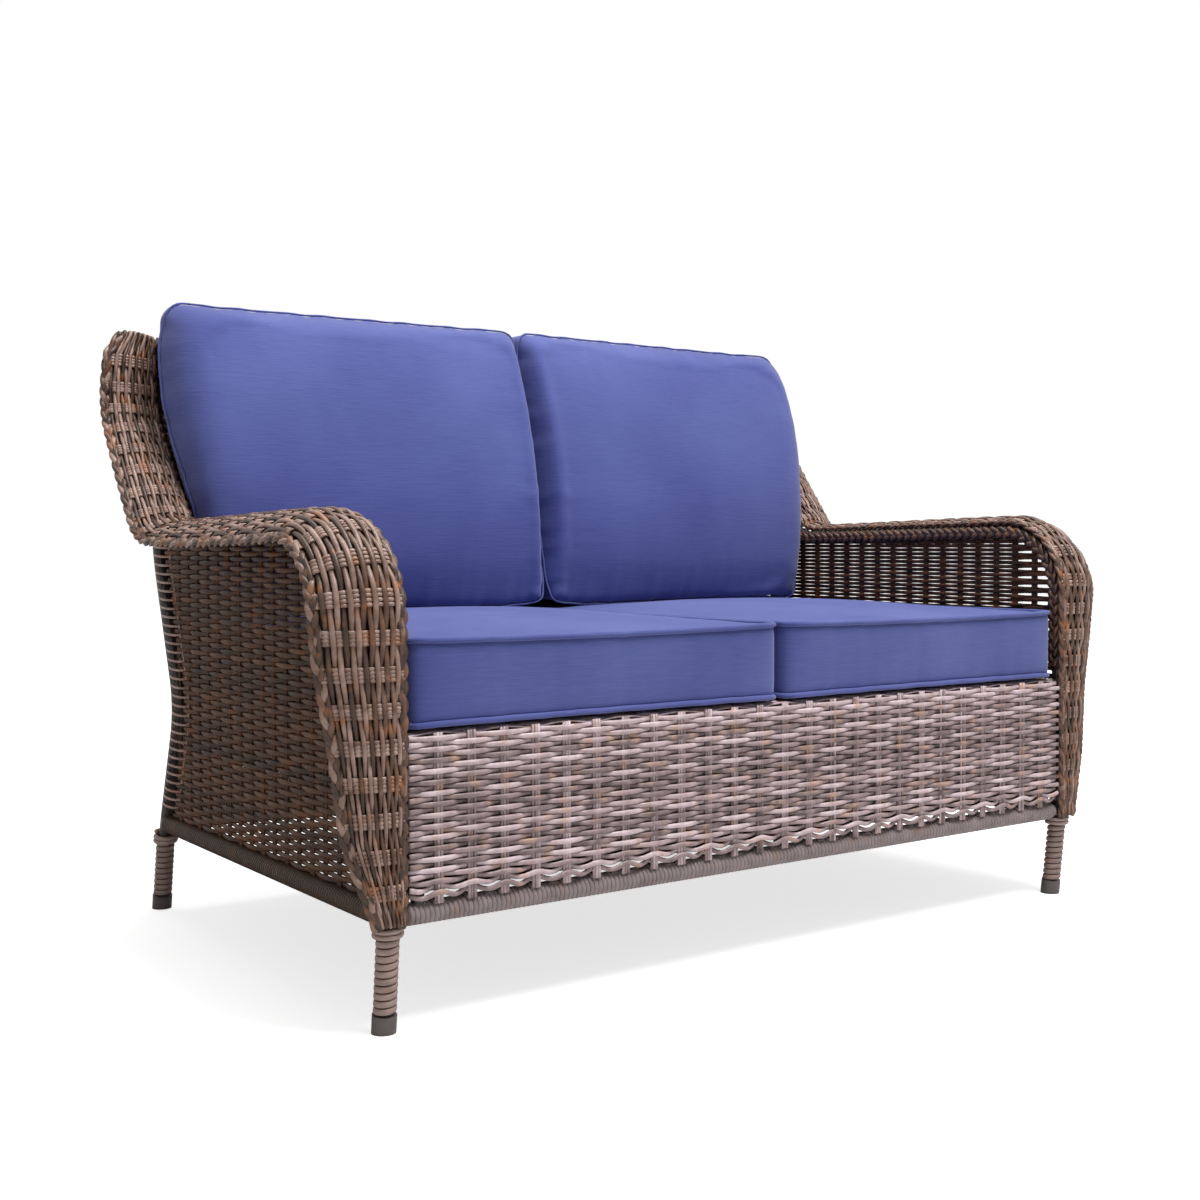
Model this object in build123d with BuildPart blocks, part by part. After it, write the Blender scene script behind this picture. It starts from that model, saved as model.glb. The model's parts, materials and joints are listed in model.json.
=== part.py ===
from build123d import *
import math
import os

os.makedirs("parts", exist_ok=True)

# Patio loveseat, in millimetres: +X to the viewer's right, front faces -Y, +Z up,
# origin on the floor under the middle of the overall box. Every place below is worked out
# from these sizes.

# Overall sizes
overall_width = 1372
overall_depth = 806
band_overhang = 93
rear_foot_setback = 29.3
arm_tube_height = 578
arm_tube_drop = 9
back_tube_height = 868

# Stock that the frame is welded from
tube_diameter = 19
bent_tube_sides = 12
wrapped_rail_diameter = 25
square_tube = 20
square_tube_wall = 1.5
upright_width = 16
upright_depth = 12
post_diameter = 16

# Fits
weld_gap = 0.3
rope_gap = 0.8
cloth_gap = 0.3

# Arm tube, seen from the side
leg_rake = 13
leg_top_height = 128
foot_bend_radius = 200
front_roll_radius = 100
wing_bend_from_back = 187.3
wing_bend_radius = 90
wing_knee_setback = 18.5
wing_knee_share = 0.5862
wing_knee_radius = 140

# Rear post, seen from the side
rear_ankle_forward = 26
rear_ankle_radius = 300
rear_knee_forward = 92
rear_knee_drop = 27.3
rear_knee_radius = 130
rear_shoulder_forward = 10
rear_shoulder_height = 548
rear_shoulder_radius = 300
rear_post_end_height = 736
rear_post_end_back = 5

# Lower rails and woven panels
lower_rail_height = 135.5
side_web_thickness = 4.6
side_stake_thickness = 8
side_stake_width = 10
side_stake_spacing = 77
side_stake_count = 9
apron_thickness = 6
apron_setback = 8
thin_web_thickness = 4

# Woven band over the front leg, the arm and the wing, with a rope edge on both sides
rope_diameter = 12
band_thickness = 6
band_inner_reach = 14
band_drop = 27
band_crown = 17
band_start_height = 127
band_face_rise = 1.4

# Seat frame and deck
deck_height = 345.3
deck_thickness = 6
cross_bar_count = 3
cross_bar_spacing = 280
apron_post_setback = 37

# Back frame
back_foot_setback = 85
back_head_setback = 3.5
upright_count = 3
upright_spacing = 280

# Strand wound round the legs, above the glides
strand_width = 6.6
strand_height = 4.2
strand_gap = 0.5
strand_pitch = 9.2
winding_turns = 9
collar_turns = 1.5
collar_rise = 2.8

# Glides
glide_diameter = 29
glide_height = 22
glide_floor = 5
glide_fit = 0.15

# Bolted joints between the arm units, the seat unit and the back unit
bolt_diameter = 6
bolt_reach = 10
bolt_head_width = 10
bolt_head_height = 4
washer_diameter = 11.5
washer_thickness = 1.6
bolt_sides = 12
hole_clearance = 0.3
insert_diameter = 9
insert_length = 13
insert_fit = 0.1
top_bolt_drop = 48

# Cushions
cushion_split = 4
seat_cushion_side_gap = 17.5
seat_cushion_overhang = 3
seat_cushion_rear_gap = 9.3
seat_boxing_height = 102
seat_cushion_height = 115
seat_corner_radius = 34
seat_side_draw = 6
seat_crown_reach = 190
seat_edge_roll = 7
back_cushion_side_gap = 5.5
back_cushion_settle = 1.8
back_cushion_height = 462.5
back_cushion_foot_thickness = 137
back_cushion_head_thickness = 92
back_cushion_crown = 22
back_corner_radius = 30
back_side_draw = 9
back_crown_reach = 150
back_edge_roll = 9

# Places that follow from the sizes above
tube_radius = tube_diameter / 2
rail_radius = wrapped_rail_diameter / 2
rope_radius = rope_diameter / 2
leg_x = overall_width / 2 - band_overhang
front_leg_y = -overall_depth / 2 + band_face_rise + rope_diameter + rope_gap + tube_radius
front_foot_y = front_leg_y + leg_rake
rear_foot_y = overall_depth / 2 - rear_foot_setback
rail_x = leg_x - tube_radius - weld_gap - square_tube / 2
rail_inner_x = rail_x - square_tube / 2
seat_rail_z = deck_height - deck_thickness - weld_gap - square_tube / 2
apron_front_y = -overall_depth / 2 + apron_setback
apron_back_y = apron_front_y + apron_thickness
rail_front_y = apron_back_y + weld_gap
lower_rail_top = lower_rail_height + rail_radius
apron_foot_z = (
    lower_rail_height + math.sqrt(rail_radius**2 - (front_leg_y - apron_back_y) ** 2) + weld_gap
)
rear_ankle_y = rear_foot_y - rear_ankle_forward
wing_top_y = overall_depth / 2 - tube_radius
rear_knee_height = deck_height - rear_knee_drop
wing_knee_height = arm_tube_height + (back_tube_height - arm_tube_height) * wing_knee_share
top_bolt_height = back_tube_height - top_bolt_drop
apron_post_spacing = leg_x - apron_post_setback
arm_inner_x = leg_x - tube_radius
seat_cushion_width = arm_inner_x - cushion_split / 2 - seat_cushion_side_gap
back_cushion_width = arm_inner_x - cushion_split / 2 - back_cushion_side_gap
back_cushion_bottom = deck_height + seat_cushion_height - back_cushion_settle
back_cushion_top = back_cushion_bottom + back_cushion_height

front_foot = (front_foot_y, 0)
front_leg_top = (front_leg_y, leg_top_height)
front_corner = (front_leg_y, arm_tube_height)
wing_bend = (overall_depth / 2 - wing_bend_from_back, arm_tube_height - arm_tube_drop)
wing_knee = (wing_top_y - wing_knee_setback, wing_knee_height)
wing_top = (wing_top_y, back_tube_height)

rear_foot = (rear_foot_y, 0)
rear_ankle = (rear_ankle_y, lower_rail_height)
rear_knee = (rear_foot_y - rear_knee_forward, rear_knee_height)
rear_shoulder = (rear_foot_y - rear_shoulder_forward, rear_shoulder_height)
rear_post_end = (rear_foot_y + rear_post_end_back, rear_post_end_height)


# Step along a line, as a share of it, that a direction or a place is found to
nudge_share = 0.0001


def between(start, end, distance):
    """A point on the line from start to end, at a distance from start."""
    share = distance / math.dist(start, end)
    return tuple(a + (b - a) * share for a, b in zip(start, end))


def at_height(start, end, height):
    """A point on the line from start to end, both (y, z), at a height."""
    share = (height - start[1]) / (end[1] - start[1])
    return (start[0] + (end[0] - start[0]) * share, height)


def crossing(a, b, c, d):
    """Where the line through a and b meets the line through c and d."""
    ab = (b[0] - a[0], b[1] - a[1])
    cd = (d[0] - c[0], d[1] - c[1])
    share = ((c[0] - a[0]) * cd[1] - (c[1] - a[1]) * cd[0]) / (ab[0] * cd[1] - ab[1] * cd[0])
    return (a[0] + ab[0] * share, a[1] + ab[1] * share)


arm_points = [
    between(front_foot, front_leg_top, glide_floor),
    front_leg_top,
    front_corner,
    wing_bend,
    wing_knee,
    wing_top,
]
arm_radii = [foot_bend_radius, front_roll_radius, wing_bend_radius, wing_knee_radius]
post_points = [
    between(rear_foot, rear_ankle, glide_floor),
    rear_ankle,
    rear_knee,
    rear_shoulder,
    rear_post_end,
]
post_radii = [rear_ankle_radius, rear_knee_radius, rear_shoulder_radius]

# The back frame leans back along this line, from the seat rail's top to the top rail
back_lean = math.atan2(
    wing_top_y - back_head_setback - (overall_depth / 2 - back_foot_setback),
    back_tube_height - (deck_height - deck_thickness),
)
back_foot_z = deck_height - deck_thickness + weld_gap + square_tube / 2 * math.sin(back_lean)
back_foot_y = overall_depth / 2 - back_foot_setback
back_length = (back_tube_height - back_foot_z) / math.cos(back_lean)
back_plane = Plane(
    origin=(0, back_foot_y, back_foot_z),
    x_dir=(1, 0, 0),
    z_dir=(0, -math.cos(back_lean), math.sin(back_lean)),
)


def back_y(height):
    """The middle of the back frame at a height."""
    return back_foot_y + (height - back_foot_z) * math.tan(back_lean)


def save(piece, name):
    """Name a finished piece and write it."""
    piece.part.label = name
    export_step(piece.part, f"parts/{name}.step")


def side_plane(sign):
    """The plane of one arm unit's tubes, drawn in (y, z)."""
    return Plane.YZ.offset(sign * leg_x)


def route(points, radii, sign):
    """A tube's centre line in the plane of an arm unit."""
    with BuildLine(side_plane(sign)) as line:
        FilletPolyline(*points, radius=radii)
    return line.wires()[0]


def passing(line, height):
    """Where a rising centre line passes a height, as (y, z)."""
    low, high = 0, 1
    while high - low > nudge_share:
        middle = (low + high) / 2
        if (line @ middle).Z < height:
            low = middle
        else:
            high = middle
    return ((line @ low).Y, height)


# Where the bolts go through, (y, z) on each side: front leg, rear post and top of the back
bolt_places = [
    (front_leg_y, seat_rail_z),
    passing(route(post_points, post_radii, 1), seat_rail_z),
    (back_y(top_bolt_height), top_bolt_height),
]


def bar_along(line, radius):
    """A bent bar along a centre line, its round section cut to flats that keep its width."""
    with BuildSketch(Plane(origin=line @ 0, x_dir=(1, 0, 0), z_dir=line % 0)) as section:
        RegularPolygon(
            radius, bent_tube_sides, major_radius=False, rotation=180 / bent_tube_sides
        )
    sweep(section.sketch, path=line)


def envelope(points, radii, sign, radius):
    """The space that a tube takes up, with room round it, for coping what meets it."""
    with BuildPart() as space:
        bar_along(route(points, radii, sign), radius)
    return space.part


def cut_insert_holes(sign, places):
    """Blind holes from the inner side of a tube, for the threaded inserts."""
    for y, z in places:
        inner = Plane(origin=(sign * (leg_x - tube_radius), y, z), z_dir=(sign, 0, 0))
        with BuildSketch(inner) as mouth:
            Circle(insert_diameter / 2 + insert_fit)
        extrude(mouth.sketch, amount=insert_length, mode=Mode.SUBTRACT)


# Band stations: share of the band's length, then shares of its inner reach, outer reach,
# drop of the outer edge and crown. Inner reach is negative towards the seat.
band_station_shares = [
    (0.000, -0.85, 0.22, 0.10, 0.15),
    (0.073, -0.90, 0.60, 0.55, 0.45),
    (0.150, -1.00, 0.74, 0.75, 0.58),
    (0.215, -1.00, 0.92, 0.82, 0.65),
    (0.262, -1.00, 1.00, 0.82, 0.75),
    (0.310, -0.80, 1.00, 0.88, 0.90),
    (0.368, -0.35, 1.00, 0.96, 1.00),
    (0.470, 0.05, 1.00, 1.00, 1.00),
    (0.600, 0.20, 0.99, 1.00, 0.90),
    (0.705, 0.30, 0.99, 0.80, 0.75),
    (0.762, 0.30, 0.99, 0.30, 0.60),
    (0.830, 0.30, 0.99, 0.05, 0.60),
    (0.890, 0.25, 0.98, -0.25, 0.55),
    (0.940, 0.20, 0.97, -0.70, 0.50),
    (0.975, 0.05, 0.92, -1.00, 0.45),
    (1.000, -0.15, 0.66, -1.00, 0.35),
]

# Longest span of the band between sections on the straights, and largest turn of one on the bends
band_straight_span = 75
band_bend_turn = 10

# Places across the band's woven middle, and round the outer half of a rope edge in degrees
web_shares = (0.3, 0.5, 0.7)
rope_turns = (0, 45, 90, 135, 180)


def band_shares(place):
    """The four shares at a place along the band, eased between stations."""
    for low, high in zip(band_station_shares, band_station_shares[1:]):
        if place <= high[0]:
            part = (place - low[0]) / (high[0] - low[0])
            return [a + (b - a) * part for a, b in zip(low[1:], high[1:])]
    return list(band_station_shares[-1][1:])


def band_section(line, distance, place, sign):
    """One cross-section of the band, square to the tube that it lies on."""
    inner, outer, drop, crown = band_shares(place)
    outer_reach = overall_width / 2 - rope_radius - leg_x
    centre = line.position_at(distance, position_mode=PositionMode.LENGTH)
    along = line.tangent_at(distance, position_mode=PositionMode.LENGTH)
    outward = Vector(sign, 0, 0)
    proud = Vector(0, -along.Z, along.Y)
    seat = tube_radius + rope_gap + rope_radius
    inner_edge = centre + outward * (inner * band_inner_reach) + proud * seat
    outer_edge = centre + outward * (outer * outer_reach) + proud * (seat - drop * band_drop)
    middle = (inner_edge + outer_edge) / 2 + proud * (crown * band_crown)
    chord = outer_edge - inner_edge
    lift = middle - (inner_edge + outer_edge) / 2

    def on_web(share, height):
        """A point on the woven middle, bowed between the two rope edges."""
        bow = 1 - (1 - share - share) ** 2
        return inner_edge + chord * share + lift * bow + proud * height

    def on_rope(edge, turn, way):
        """A point on a rope edge, at an angle from straight up, or from straight down."""
        angle = math.radians(turn)
        reach = rope_radius * way
        return edge + (proud * math.cos(angle) + outward * math.sin(angle)) * reach

    top = [on_web(share, band_thickness / 2) for share in web_shares]
    under = [on_web(share, -band_thickness / 2) for share in reversed(web_shares)]
    outer_rope = [on_rope(outer_edge, turn, 1) for turn in rope_turns]
    inner_rope = [on_rope(inner_edge, turn, -1) for turn in rope_turns]
    with BuildLine() as outline:
        Polyline(*top, *outer_rope, *under, *inner_rope, close=True)
    return Face(outline.wires()[0])


def band_stations(line):
    """Distances along the tube of the band's sections, close together where the tube bends."""
    band_start = band_start_height - glide_floor
    stations, reached = [band_start], 0
    for edge in line.edges():
        turn = (edge % 0).get_angle(edge % 1)
        spans = max(math.ceil(turn / band_bend_turn), math.ceil(edge.length / band_straight_span))
        for step in range(spans):
            distance = reached + edge.length * (step + 1) / spans
            if distance > band_start + band_straight_span / 4:
                stations.append(distance)
        reached += edge.length
    return stations


def make_glides(name, foot, ankle):
    """Caps over the ends of a pair of legs, cut flat on the floor."""
    lean = Vector(0, ankle[0] - foot[0], ankle[1] - foot[1]).normalized()
    with BuildPart() as glides:
        for sign in (-1, 1):
            base = Plane(origin=(sign * leg_x, foot[0], foot[1]), x_dir=(1, 0, 0), z_dir=lean)
            with BuildSketch(base.offset(-glide_floor)):
                Circle(glide_diameter / 2)
            extrude(amount=glide_floor + glide_height)
            with BuildSketch(base.offset(glide_floor)):
                RegularPolygon(
                    tube_radius + glide_fit,
                    bent_tube_sides,
                    major_radius=False,
                    rotation=180 / bent_tube_sides,
                )
            extrude(amount=glide_height, mode=Mode.SUBTRACT)
        split(bisect_by=Plane.XY, keep=Keep.TOP)
    save(glides, name)


def make_arm_unit(side, sign):
    """One arm: bent tube, rear post, lower rail, woven side and woven band."""
    arm_line = route(arm_points, arm_radii, sign)
    with BuildPart() as arm_tube:
        bar_along(arm_line, tube_radius)
        cut_insert_holes(sign, bolt_places[::2])
    save(arm_tube, f"{side}_arm_tube")

    arm_room = envelope(arm_points, arm_radii, sign, tube_radius + weld_gap)
    with BuildPart() as rear_post:
        bar_along(route(post_points, post_radii, sign), tube_radius)
        cut_insert_holes(sign, bolt_places[1:2])
        add(arm_room, mode=Mode.SUBTRACT)
    save(rear_post, f"{side}_rear_post")

    rail_start = front_leg_y + tube_radius + weld_gap
    rail_end = rear_ankle_y - tube_radius - weld_gap
    with BuildPart() as side_rail:
        start = Plane(origin=(sign * leg_x, rail_start, lower_rail_height), z_dir=(0, 1, 0))
        with BuildSketch(start):
            Circle(rail_radius)
        extrude(amount=rail_end - rail_start)
        add(arm_room, mode=Mode.SUBTRACT)
        add(envelope(post_points, post_radii, sign, tube_radius + weld_gap), mode=Mode.SUBTRACT)
    save(side_rail, f"{side}_side_rail")

    web_bottom = lower_rail_top - tube_radius
    web_corners = [
        (front_leg_y, web_bottom),
        front_corner,
        wing_bend,
        crossing(wing_bend, wing_knee, rear_shoulder, rear_post_end),
        rear_shoulder,
        rear_knee,
        at_height(rear_ankle, rear_knee, web_bottom),
    ]
    web_radii = [0, front_roll_radius, wing_bend_radius, 0, rear_shoulder_radius, rear_knee_radius, 0]
    stake_reach = side_stake_spacing * (side_stake_count + 1) - side_stake_width
    stakes_middle = (front_leg_y + stake_reach / 2, arm_tube_height / 2)
    with BuildPart() as side_web:
        with BuildSketch(side_plane(sign)) as web:
            with BuildLine():
                FilletPolyline(*web_corners, radius=web_radii, close=True)
            make_face()
            offset(amount=-(tube_radius + weld_gap), kind=Kind.INTERSECTION, mode=Mode.REPLACE)
        extrude(web.sketch, amount=side_web_thickness / 2, both=True)
        with BuildSketch(side_plane(sign)) as stakes:
            with Locations(stakes_middle):
                with GridLocations(side_stake_spacing, 0, side_stake_count, 1):
                    Rectangle(side_stake_width, arm_tube_height)
            add(web.sketch_local, mode=Mode.INTERSECT)
        extrude(stakes.sketch, amount=side_stake_thickness / 2, both=True)
    save(side_web, f"{side}_side_weave")

    stations = band_stations(arm_line)
    with BuildPart() as band:
        sections = []
        for distance in stations:
            place = (distance - stations[0]) / (stations[-1] - stations[0])
            sections.append(band_section(arm_line, distance, place, sign))
        loft(sections, ruled=True)
    save(band, f"{side}_arm_band")


def winding_line(foot, ankle, sign):
    """The middle line of the strand round a leg: a helix in half turns of two arcs each."""
    base = Vector(sign * leg_x, foot[0], foot[1])
    axis = Vector(0, ankle[0] - foot[0], ankle[1] - foot[1]).normalized()
    across = Vector(sign, 0, 0)
    beside = axis.cross(Vector(1, 0, 0))
    start = glide_height + strand_width
    radius = tube_radius / math.cos(math.pi / bent_tube_sides) + strand_gap + strand_height / 2

    def point(turns):
        """A place on the helix, which widens to a collar over its last turns."""
        share = min(max((turns - winding_turns + collar_turns) * 2, 0), 1)
        reach = radius + collar_rise * share * share * (3 - share - share)
        angle = math.tau * turns
        ring = across * math.cos(angle) + beside * math.sin(angle)
        return base + axis * (start + strand_pitch * turns) + ring * reach

    def heading(turns):
        """The helix's direction at a place."""
        return (point(turns + nudge_share) - point(turns - nudge_share)).normalized()

    halves = winding_turns * 2
    with BuildLine() as line:
        for step in range(halves):
            begin, end = point(step / 2), point((step + 1) / 2)
            leave, arrive = heading(step / 2), heading((step + 1) / 2)
            way, both = end - begin, leave + arrive
            spread_out = 2 * (1 - leave.dot(arrive))
            reach = -way.dot(both) + math.sqrt(way.dot(both) ** 2 + spread_out * way.dot(way))
            first = begin + leave * (reach / spread_out)
            last = end - arrive * (reach / spread_out)
            joint = (first + last) / 2
            TangentArc(begin, joint, tangent=leave)
            TangentArc(joint, end, tangent=last - first)
    steps = [index / points_per_turn for index in range(winding_turns * points_per_turn + 1)]
    places = [point(turns) for turns in steps]
    nearest = min(
        (places[a] - places[b]).length
        for a in range(len(places))
        for b in range(a + points_per_turn // 2, len(places))
    )
    print("winding: least gap to itself", round(nearest - strand_width, 2), "mm")
    top = start + strand_pitch * winding_turns
    return line.wires()[0], Edge.make_line(base + axis * start, base + axis * top)


# Points checked in each turn of a winding
points_per_turn = 24

# A strand's section: shares of half its width across, and of half its height out from the leg
strand_shares = [(-1.0, -1.0), (0.0, 1.0), (1.0, -1.0)]

with BuildPart() as leg_windings:
    for sign in (-1, 1):
        strand, leg_axis = winding_line(front_foot, front_leg_top, sign)
        section_plane = Plane(origin=strand @ 0, x_dir=(sign, 0, 0), z_dir=strand % 0)
        with BuildSketch(section_plane) as section:
            with BuildLine():
                Polyline(
                    *[
                        (out * strand_height / 2, across * strand_width / 2)
                        for across, out in strand_shares
                    ],
                    close=True,
                )
            make_face()
        sweep(section.sketch, path=strand, binormal=leg_axis)
save(leg_windings, "front_leg_windings")

for side_name, side_sign in (("left", -1), ("right", 1)):
    make_arm_unit(side_name, side_sign)
make_glides("front_glides", front_foot, front_leg_top)
make_glides("rear_glides", rear_foot, rear_ankle)


def square_tube_between(plane, length):
    """A hollow square tube from a plane along its normal, added to the piece in hand."""
    bore = square_tube - square_tube_wall - square_tube_wall
    with BuildSketch(plane) as section:
        Rectangle(square_tube, square_tube)
        Rectangle(bore, bore, mode=Mode.SUBTRACT)
    extrude(section.sketch, amount=length)


def cut_bolt_holes(places, sign):
    """Through holes for the bolts, across a square tube at one side."""
    for y, z in places:
        with BuildSketch(Plane(origin=(sign * rail_x, y, z), z_dir=(1, 0, 0))) as hole:
            RegularPolygon(bolt_diameter / 2 + hole_clearance, bolt_sides)
        extrude(hole.sketch, amount=square_tube, both=True, mode=Mode.SUBTRACT)


def spread(count, spacing):
    """Evenly spaced places about the middle."""
    return [(index - (count - 1) / 2) * spacing for index in range(count)]


# Seat unit
rear_rail_y = back_foot_y
seat_side_length = rear_rail_y + square_tube / 2 - rail_front_y
with BuildPart() as seat_side_rails:
    for sign in (-1, 1):
        square_tube_between(
            Plane(origin=(sign * rail_x, rail_front_y, seat_rail_z), z_dir=(0, 1, 0)),
            seat_side_length,
        )
        cut_bolt_holes(bolt_places[:2], sign)
save(seat_side_rails, "seat_side_rails")

rail_span = rail_inner_x - weld_gap
for rail_name, rail_y in (
    ("seat_front_rail", rail_front_y + square_tube / 2),
    ("seat_rear_rail", rear_rail_y),
):
    with BuildPart() as cross_rail:
        square_tube_between(
            Plane(origin=(-rail_span, rail_y, seat_rail_z), z_dir=(1, 0, 0)), rail_span + rail_span
        )
    save(cross_rail, rail_name)

cross_bar_start = rail_front_y + square_tube + weld_gap
with BuildPart() as seat_cross_bars:
    for x in spread(cross_bar_count, cross_bar_spacing):
        square_tube_between(
            Plane(origin=(x, cross_bar_start, seat_rail_z), z_dir=(0, 1, 0)),
            rear_rail_y - square_tube / 2 - weld_gap - cross_bar_start,
        )
save(seat_cross_bars, "seat_cross_bars")

# The lower rails are wrapped nearly to the legs, where their bare tube ends are welded
lower_span = leg_x - tube_radius - weld_gap
wrapped_span = leg_x - band_inner_reach - rope_radius - weld_gap
for rail_name, rail_y in (("front_lower_rail", front_leg_y), ("rear_lower_rail", rear_ankle_y)):
    with BuildPart() as lower_rail:
        with BuildSketch(Plane(origin=(0, rail_y, lower_rail_height), z_dir=(1, 0, 0))):
            Circle(rail_radius)
        extrude(amount=wrapped_span, both=True)
        with BuildSketch(Plane(origin=(0, rail_y, lower_rail_height), z_dir=(1, 0, 0))):
            Circle(tube_radius)
        extrude(amount=lower_span, both=True)
    save(lower_rail, rail_name)

apron_post_y = rail_front_y + post_diameter / 2
with BuildPart() as apron_posts:
    with BuildSketch(Plane.XY.offset(seat_rail_z - square_tube / 2 - weld_gap)):
        with Locations(*[(x, apron_post_y) for x in spread(cross_bar_count, apron_post_spacing)]):
            Circle(post_diameter / 2)
    extrude(amount=-(seat_rail_z - square_tube / 2 - weld_gap - lower_rail_height))
    with BuildSketch(Plane(origin=(0, front_leg_y, lower_rail_height), z_dir=(1, 0, 0))):
        Circle(rail_radius + weld_gap)
    extrude(amount=leg_x, both=True, mode=Mode.SUBTRACT)
save(apron_posts, "apron_posts")

with BuildPart() as front_apron:
    with BuildSketch(Plane.YZ):
        with BuildLine():
            Polyline(
                (apron_front_y, apron_foot_z),
                (apron_back_y, apron_foot_z),
                (apron_back_y, deck_height),
                (apron_front_y, deck_height),
                close=True,
            )
        make_face()
    extrude(amount=wrapped_span, both=True)
save(front_apron, "front_apron_weave")

rear_web_top_y = rear_rail_y + square_tube / 2 + weld_gap
rear_web_foot = lower_rail_top + weld_gap
with BuildPart() as rear_apron:
    with BuildSketch(Plane.YZ):
        with BuildLine():
            Polyline(
                (rear_web_top_y, deck_height - deck_thickness),
                (rear_web_top_y + thin_web_thickness, deck_height - deck_thickness),
                (rear_ankle_y + thin_web_thickness / 2, rear_web_foot),
                (rear_ankle_y - thin_web_thickness / 2, rear_web_foot),
                close=True,
            )
        make_face()
    extrude(amount=lower_span, both=True)
save(rear_apron, "rear_apron_weave")

deck_back_y = back_foot_y - square_tube / 2 / math.cos(back_lean) - weld_gap
with BuildPart() as deck:
    with BuildSketch(Plane.XY.offset(deck_height - deck_thickness)):
        with Locations((0, (rail_front_y + deck_back_y) / 2)):
            Rectangle(lower_span + lower_span, deck_back_y - rail_front_y)
    extrude(amount=deck_thickness)
save(deck, "seat_deck_weave")

# Back unit, built on the leaning plane of its frame
with BuildPart() as back_top_rail:
    top_axis = back_plane.location.position + back_plane.y_dir * back_length
    with BuildSketch(Plane(origin=top_axis - Vector(lower_span, 0, 0), z_dir=(1, 0, 0))):
        Circle(tube_radius)
    extrude(amount=lower_span + lower_span)
save(back_top_rail, "back_top_rail")

with BuildPart() as back_bottom_rail:
    bottom_axis = back_plane.location.position + back_plane.y_dir * (square_tube / 2)
    square_tube_between(
        Plane(
            origin=bottom_axis - Vector(rail_span, 0, 0),
            x_dir=back_plane.y_dir,
            z_dir=(1, 0, 0),
        ),
        rail_span + rail_span,
    )
save(back_bottom_rail, "back_bottom_rail")

with BuildPart() as back_side_tubes:
    for sign in (-1, 1):
        square_tube_between(
            Plane(
                origin=back_plane.location.position + Vector(sign * rail_x, 0, 0),
                x_dir=(1, 0, 0),
                z_dir=back_plane.y_dir,
            ),
            back_length - tube_radius - weld_gap,
        )
        cut_bolt_holes(bolt_places[2:], sign)
save(back_side_tubes, "back_side_tubes")

web_front = square_tube / 2
web_back = web_front - thin_web_thickness
upright_start = square_tube + weld_gap
with BuildPart() as back_uprights:
    for x in spread(upright_count, upright_spacing):
        foot = (
            back_plane.location.position
            + Vector(x, 0, 0)
            + back_plane.y_dir * upright_start
            + back_plane.z_dir * (web_back - weld_gap - upright_depth / 2)
        )
        with BuildSketch(Plane(origin=foot, x_dir=(1, 0, 0), z_dir=back_plane.y_dir)):
            Rectangle(upright_width, upright_depth)
        extrude(amount=back_length - tube_radius - weld_gap - upright_start)
save(back_uprights, "back_uprights")

web_height = back_length - tube_radius - weld_gap - upright_start
with BuildPart() as back_web:
    with BuildSketch(back_plane.offset(web_back)):
        with Locations((0, upright_start + web_height / 2)):
            Rectangle(rail_span + rail_span, web_height)
    extrude(amount=thin_web_thickness)
save(back_web, "back_weave")

# Bolts, washers and threaded inserts that hold the arm units to the seat and back units
head_face_x = rail_inner_x - washer_thickness
with BuildPart() as bolts:
    for sign in (-1, 1):
        for y, z in bolt_places:
            seat = Plane(origin=(sign * head_face_x, y, z), z_dir=(sign, 0, 0))
            with BuildSketch(seat):
                RegularPolygon(bolt_diameter / 2, bolt_sides)
            extrude(amount=washer_thickness + square_tube + weld_gap + bolt_reach)
            with BuildSketch(seat):
                RegularPolygon(bolt_head_width / 2, 6, major_radius=False)
            extrude(amount=-bolt_head_height)
save(bolts, "frame_bolts")

with BuildPart() as washers:
    for sign in (-1, 1):
        for y, z in bolt_places:
            with BuildSketch(Plane(origin=(sign * rail_inner_x, y, z), z_dir=(-sign, 0, 0))):
                RegularPolygon(washer_diameter / 2, bolt_sides)
                RegularPolygon(bolt_diameter / 2 + hole_clearance, bolt_sides, mode=Mode.SUBTRACT)
            extrude(amount=washer_thickness)
save(washers, "frame_washers")

with BuildPart() as inserts:
    for sign in (-1, 1):
        for y, z in bolt_places:
            start_x = leg_x - tube_radius + insert_length
            with BuildSketch(Plane(origin=(sign * start_x, y, z), z_dir=(-sign, 0, 0))):
                RegularPolygon(insert_diameter / 2, 6)
                RegularPolygon(bolt_diameter / 2 + insert_fit, bolt_sides, mode=Mode.SUBTRACT)
            extrude(amount=insert_length)
save(inserts, "threaded_inserts")


# Places along a cushion's drawn-in side, and round its corner in degrees
side_shares = (0.25, 0.5, 0.75)
corner_turns = (0, 30, 60, 90)


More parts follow.
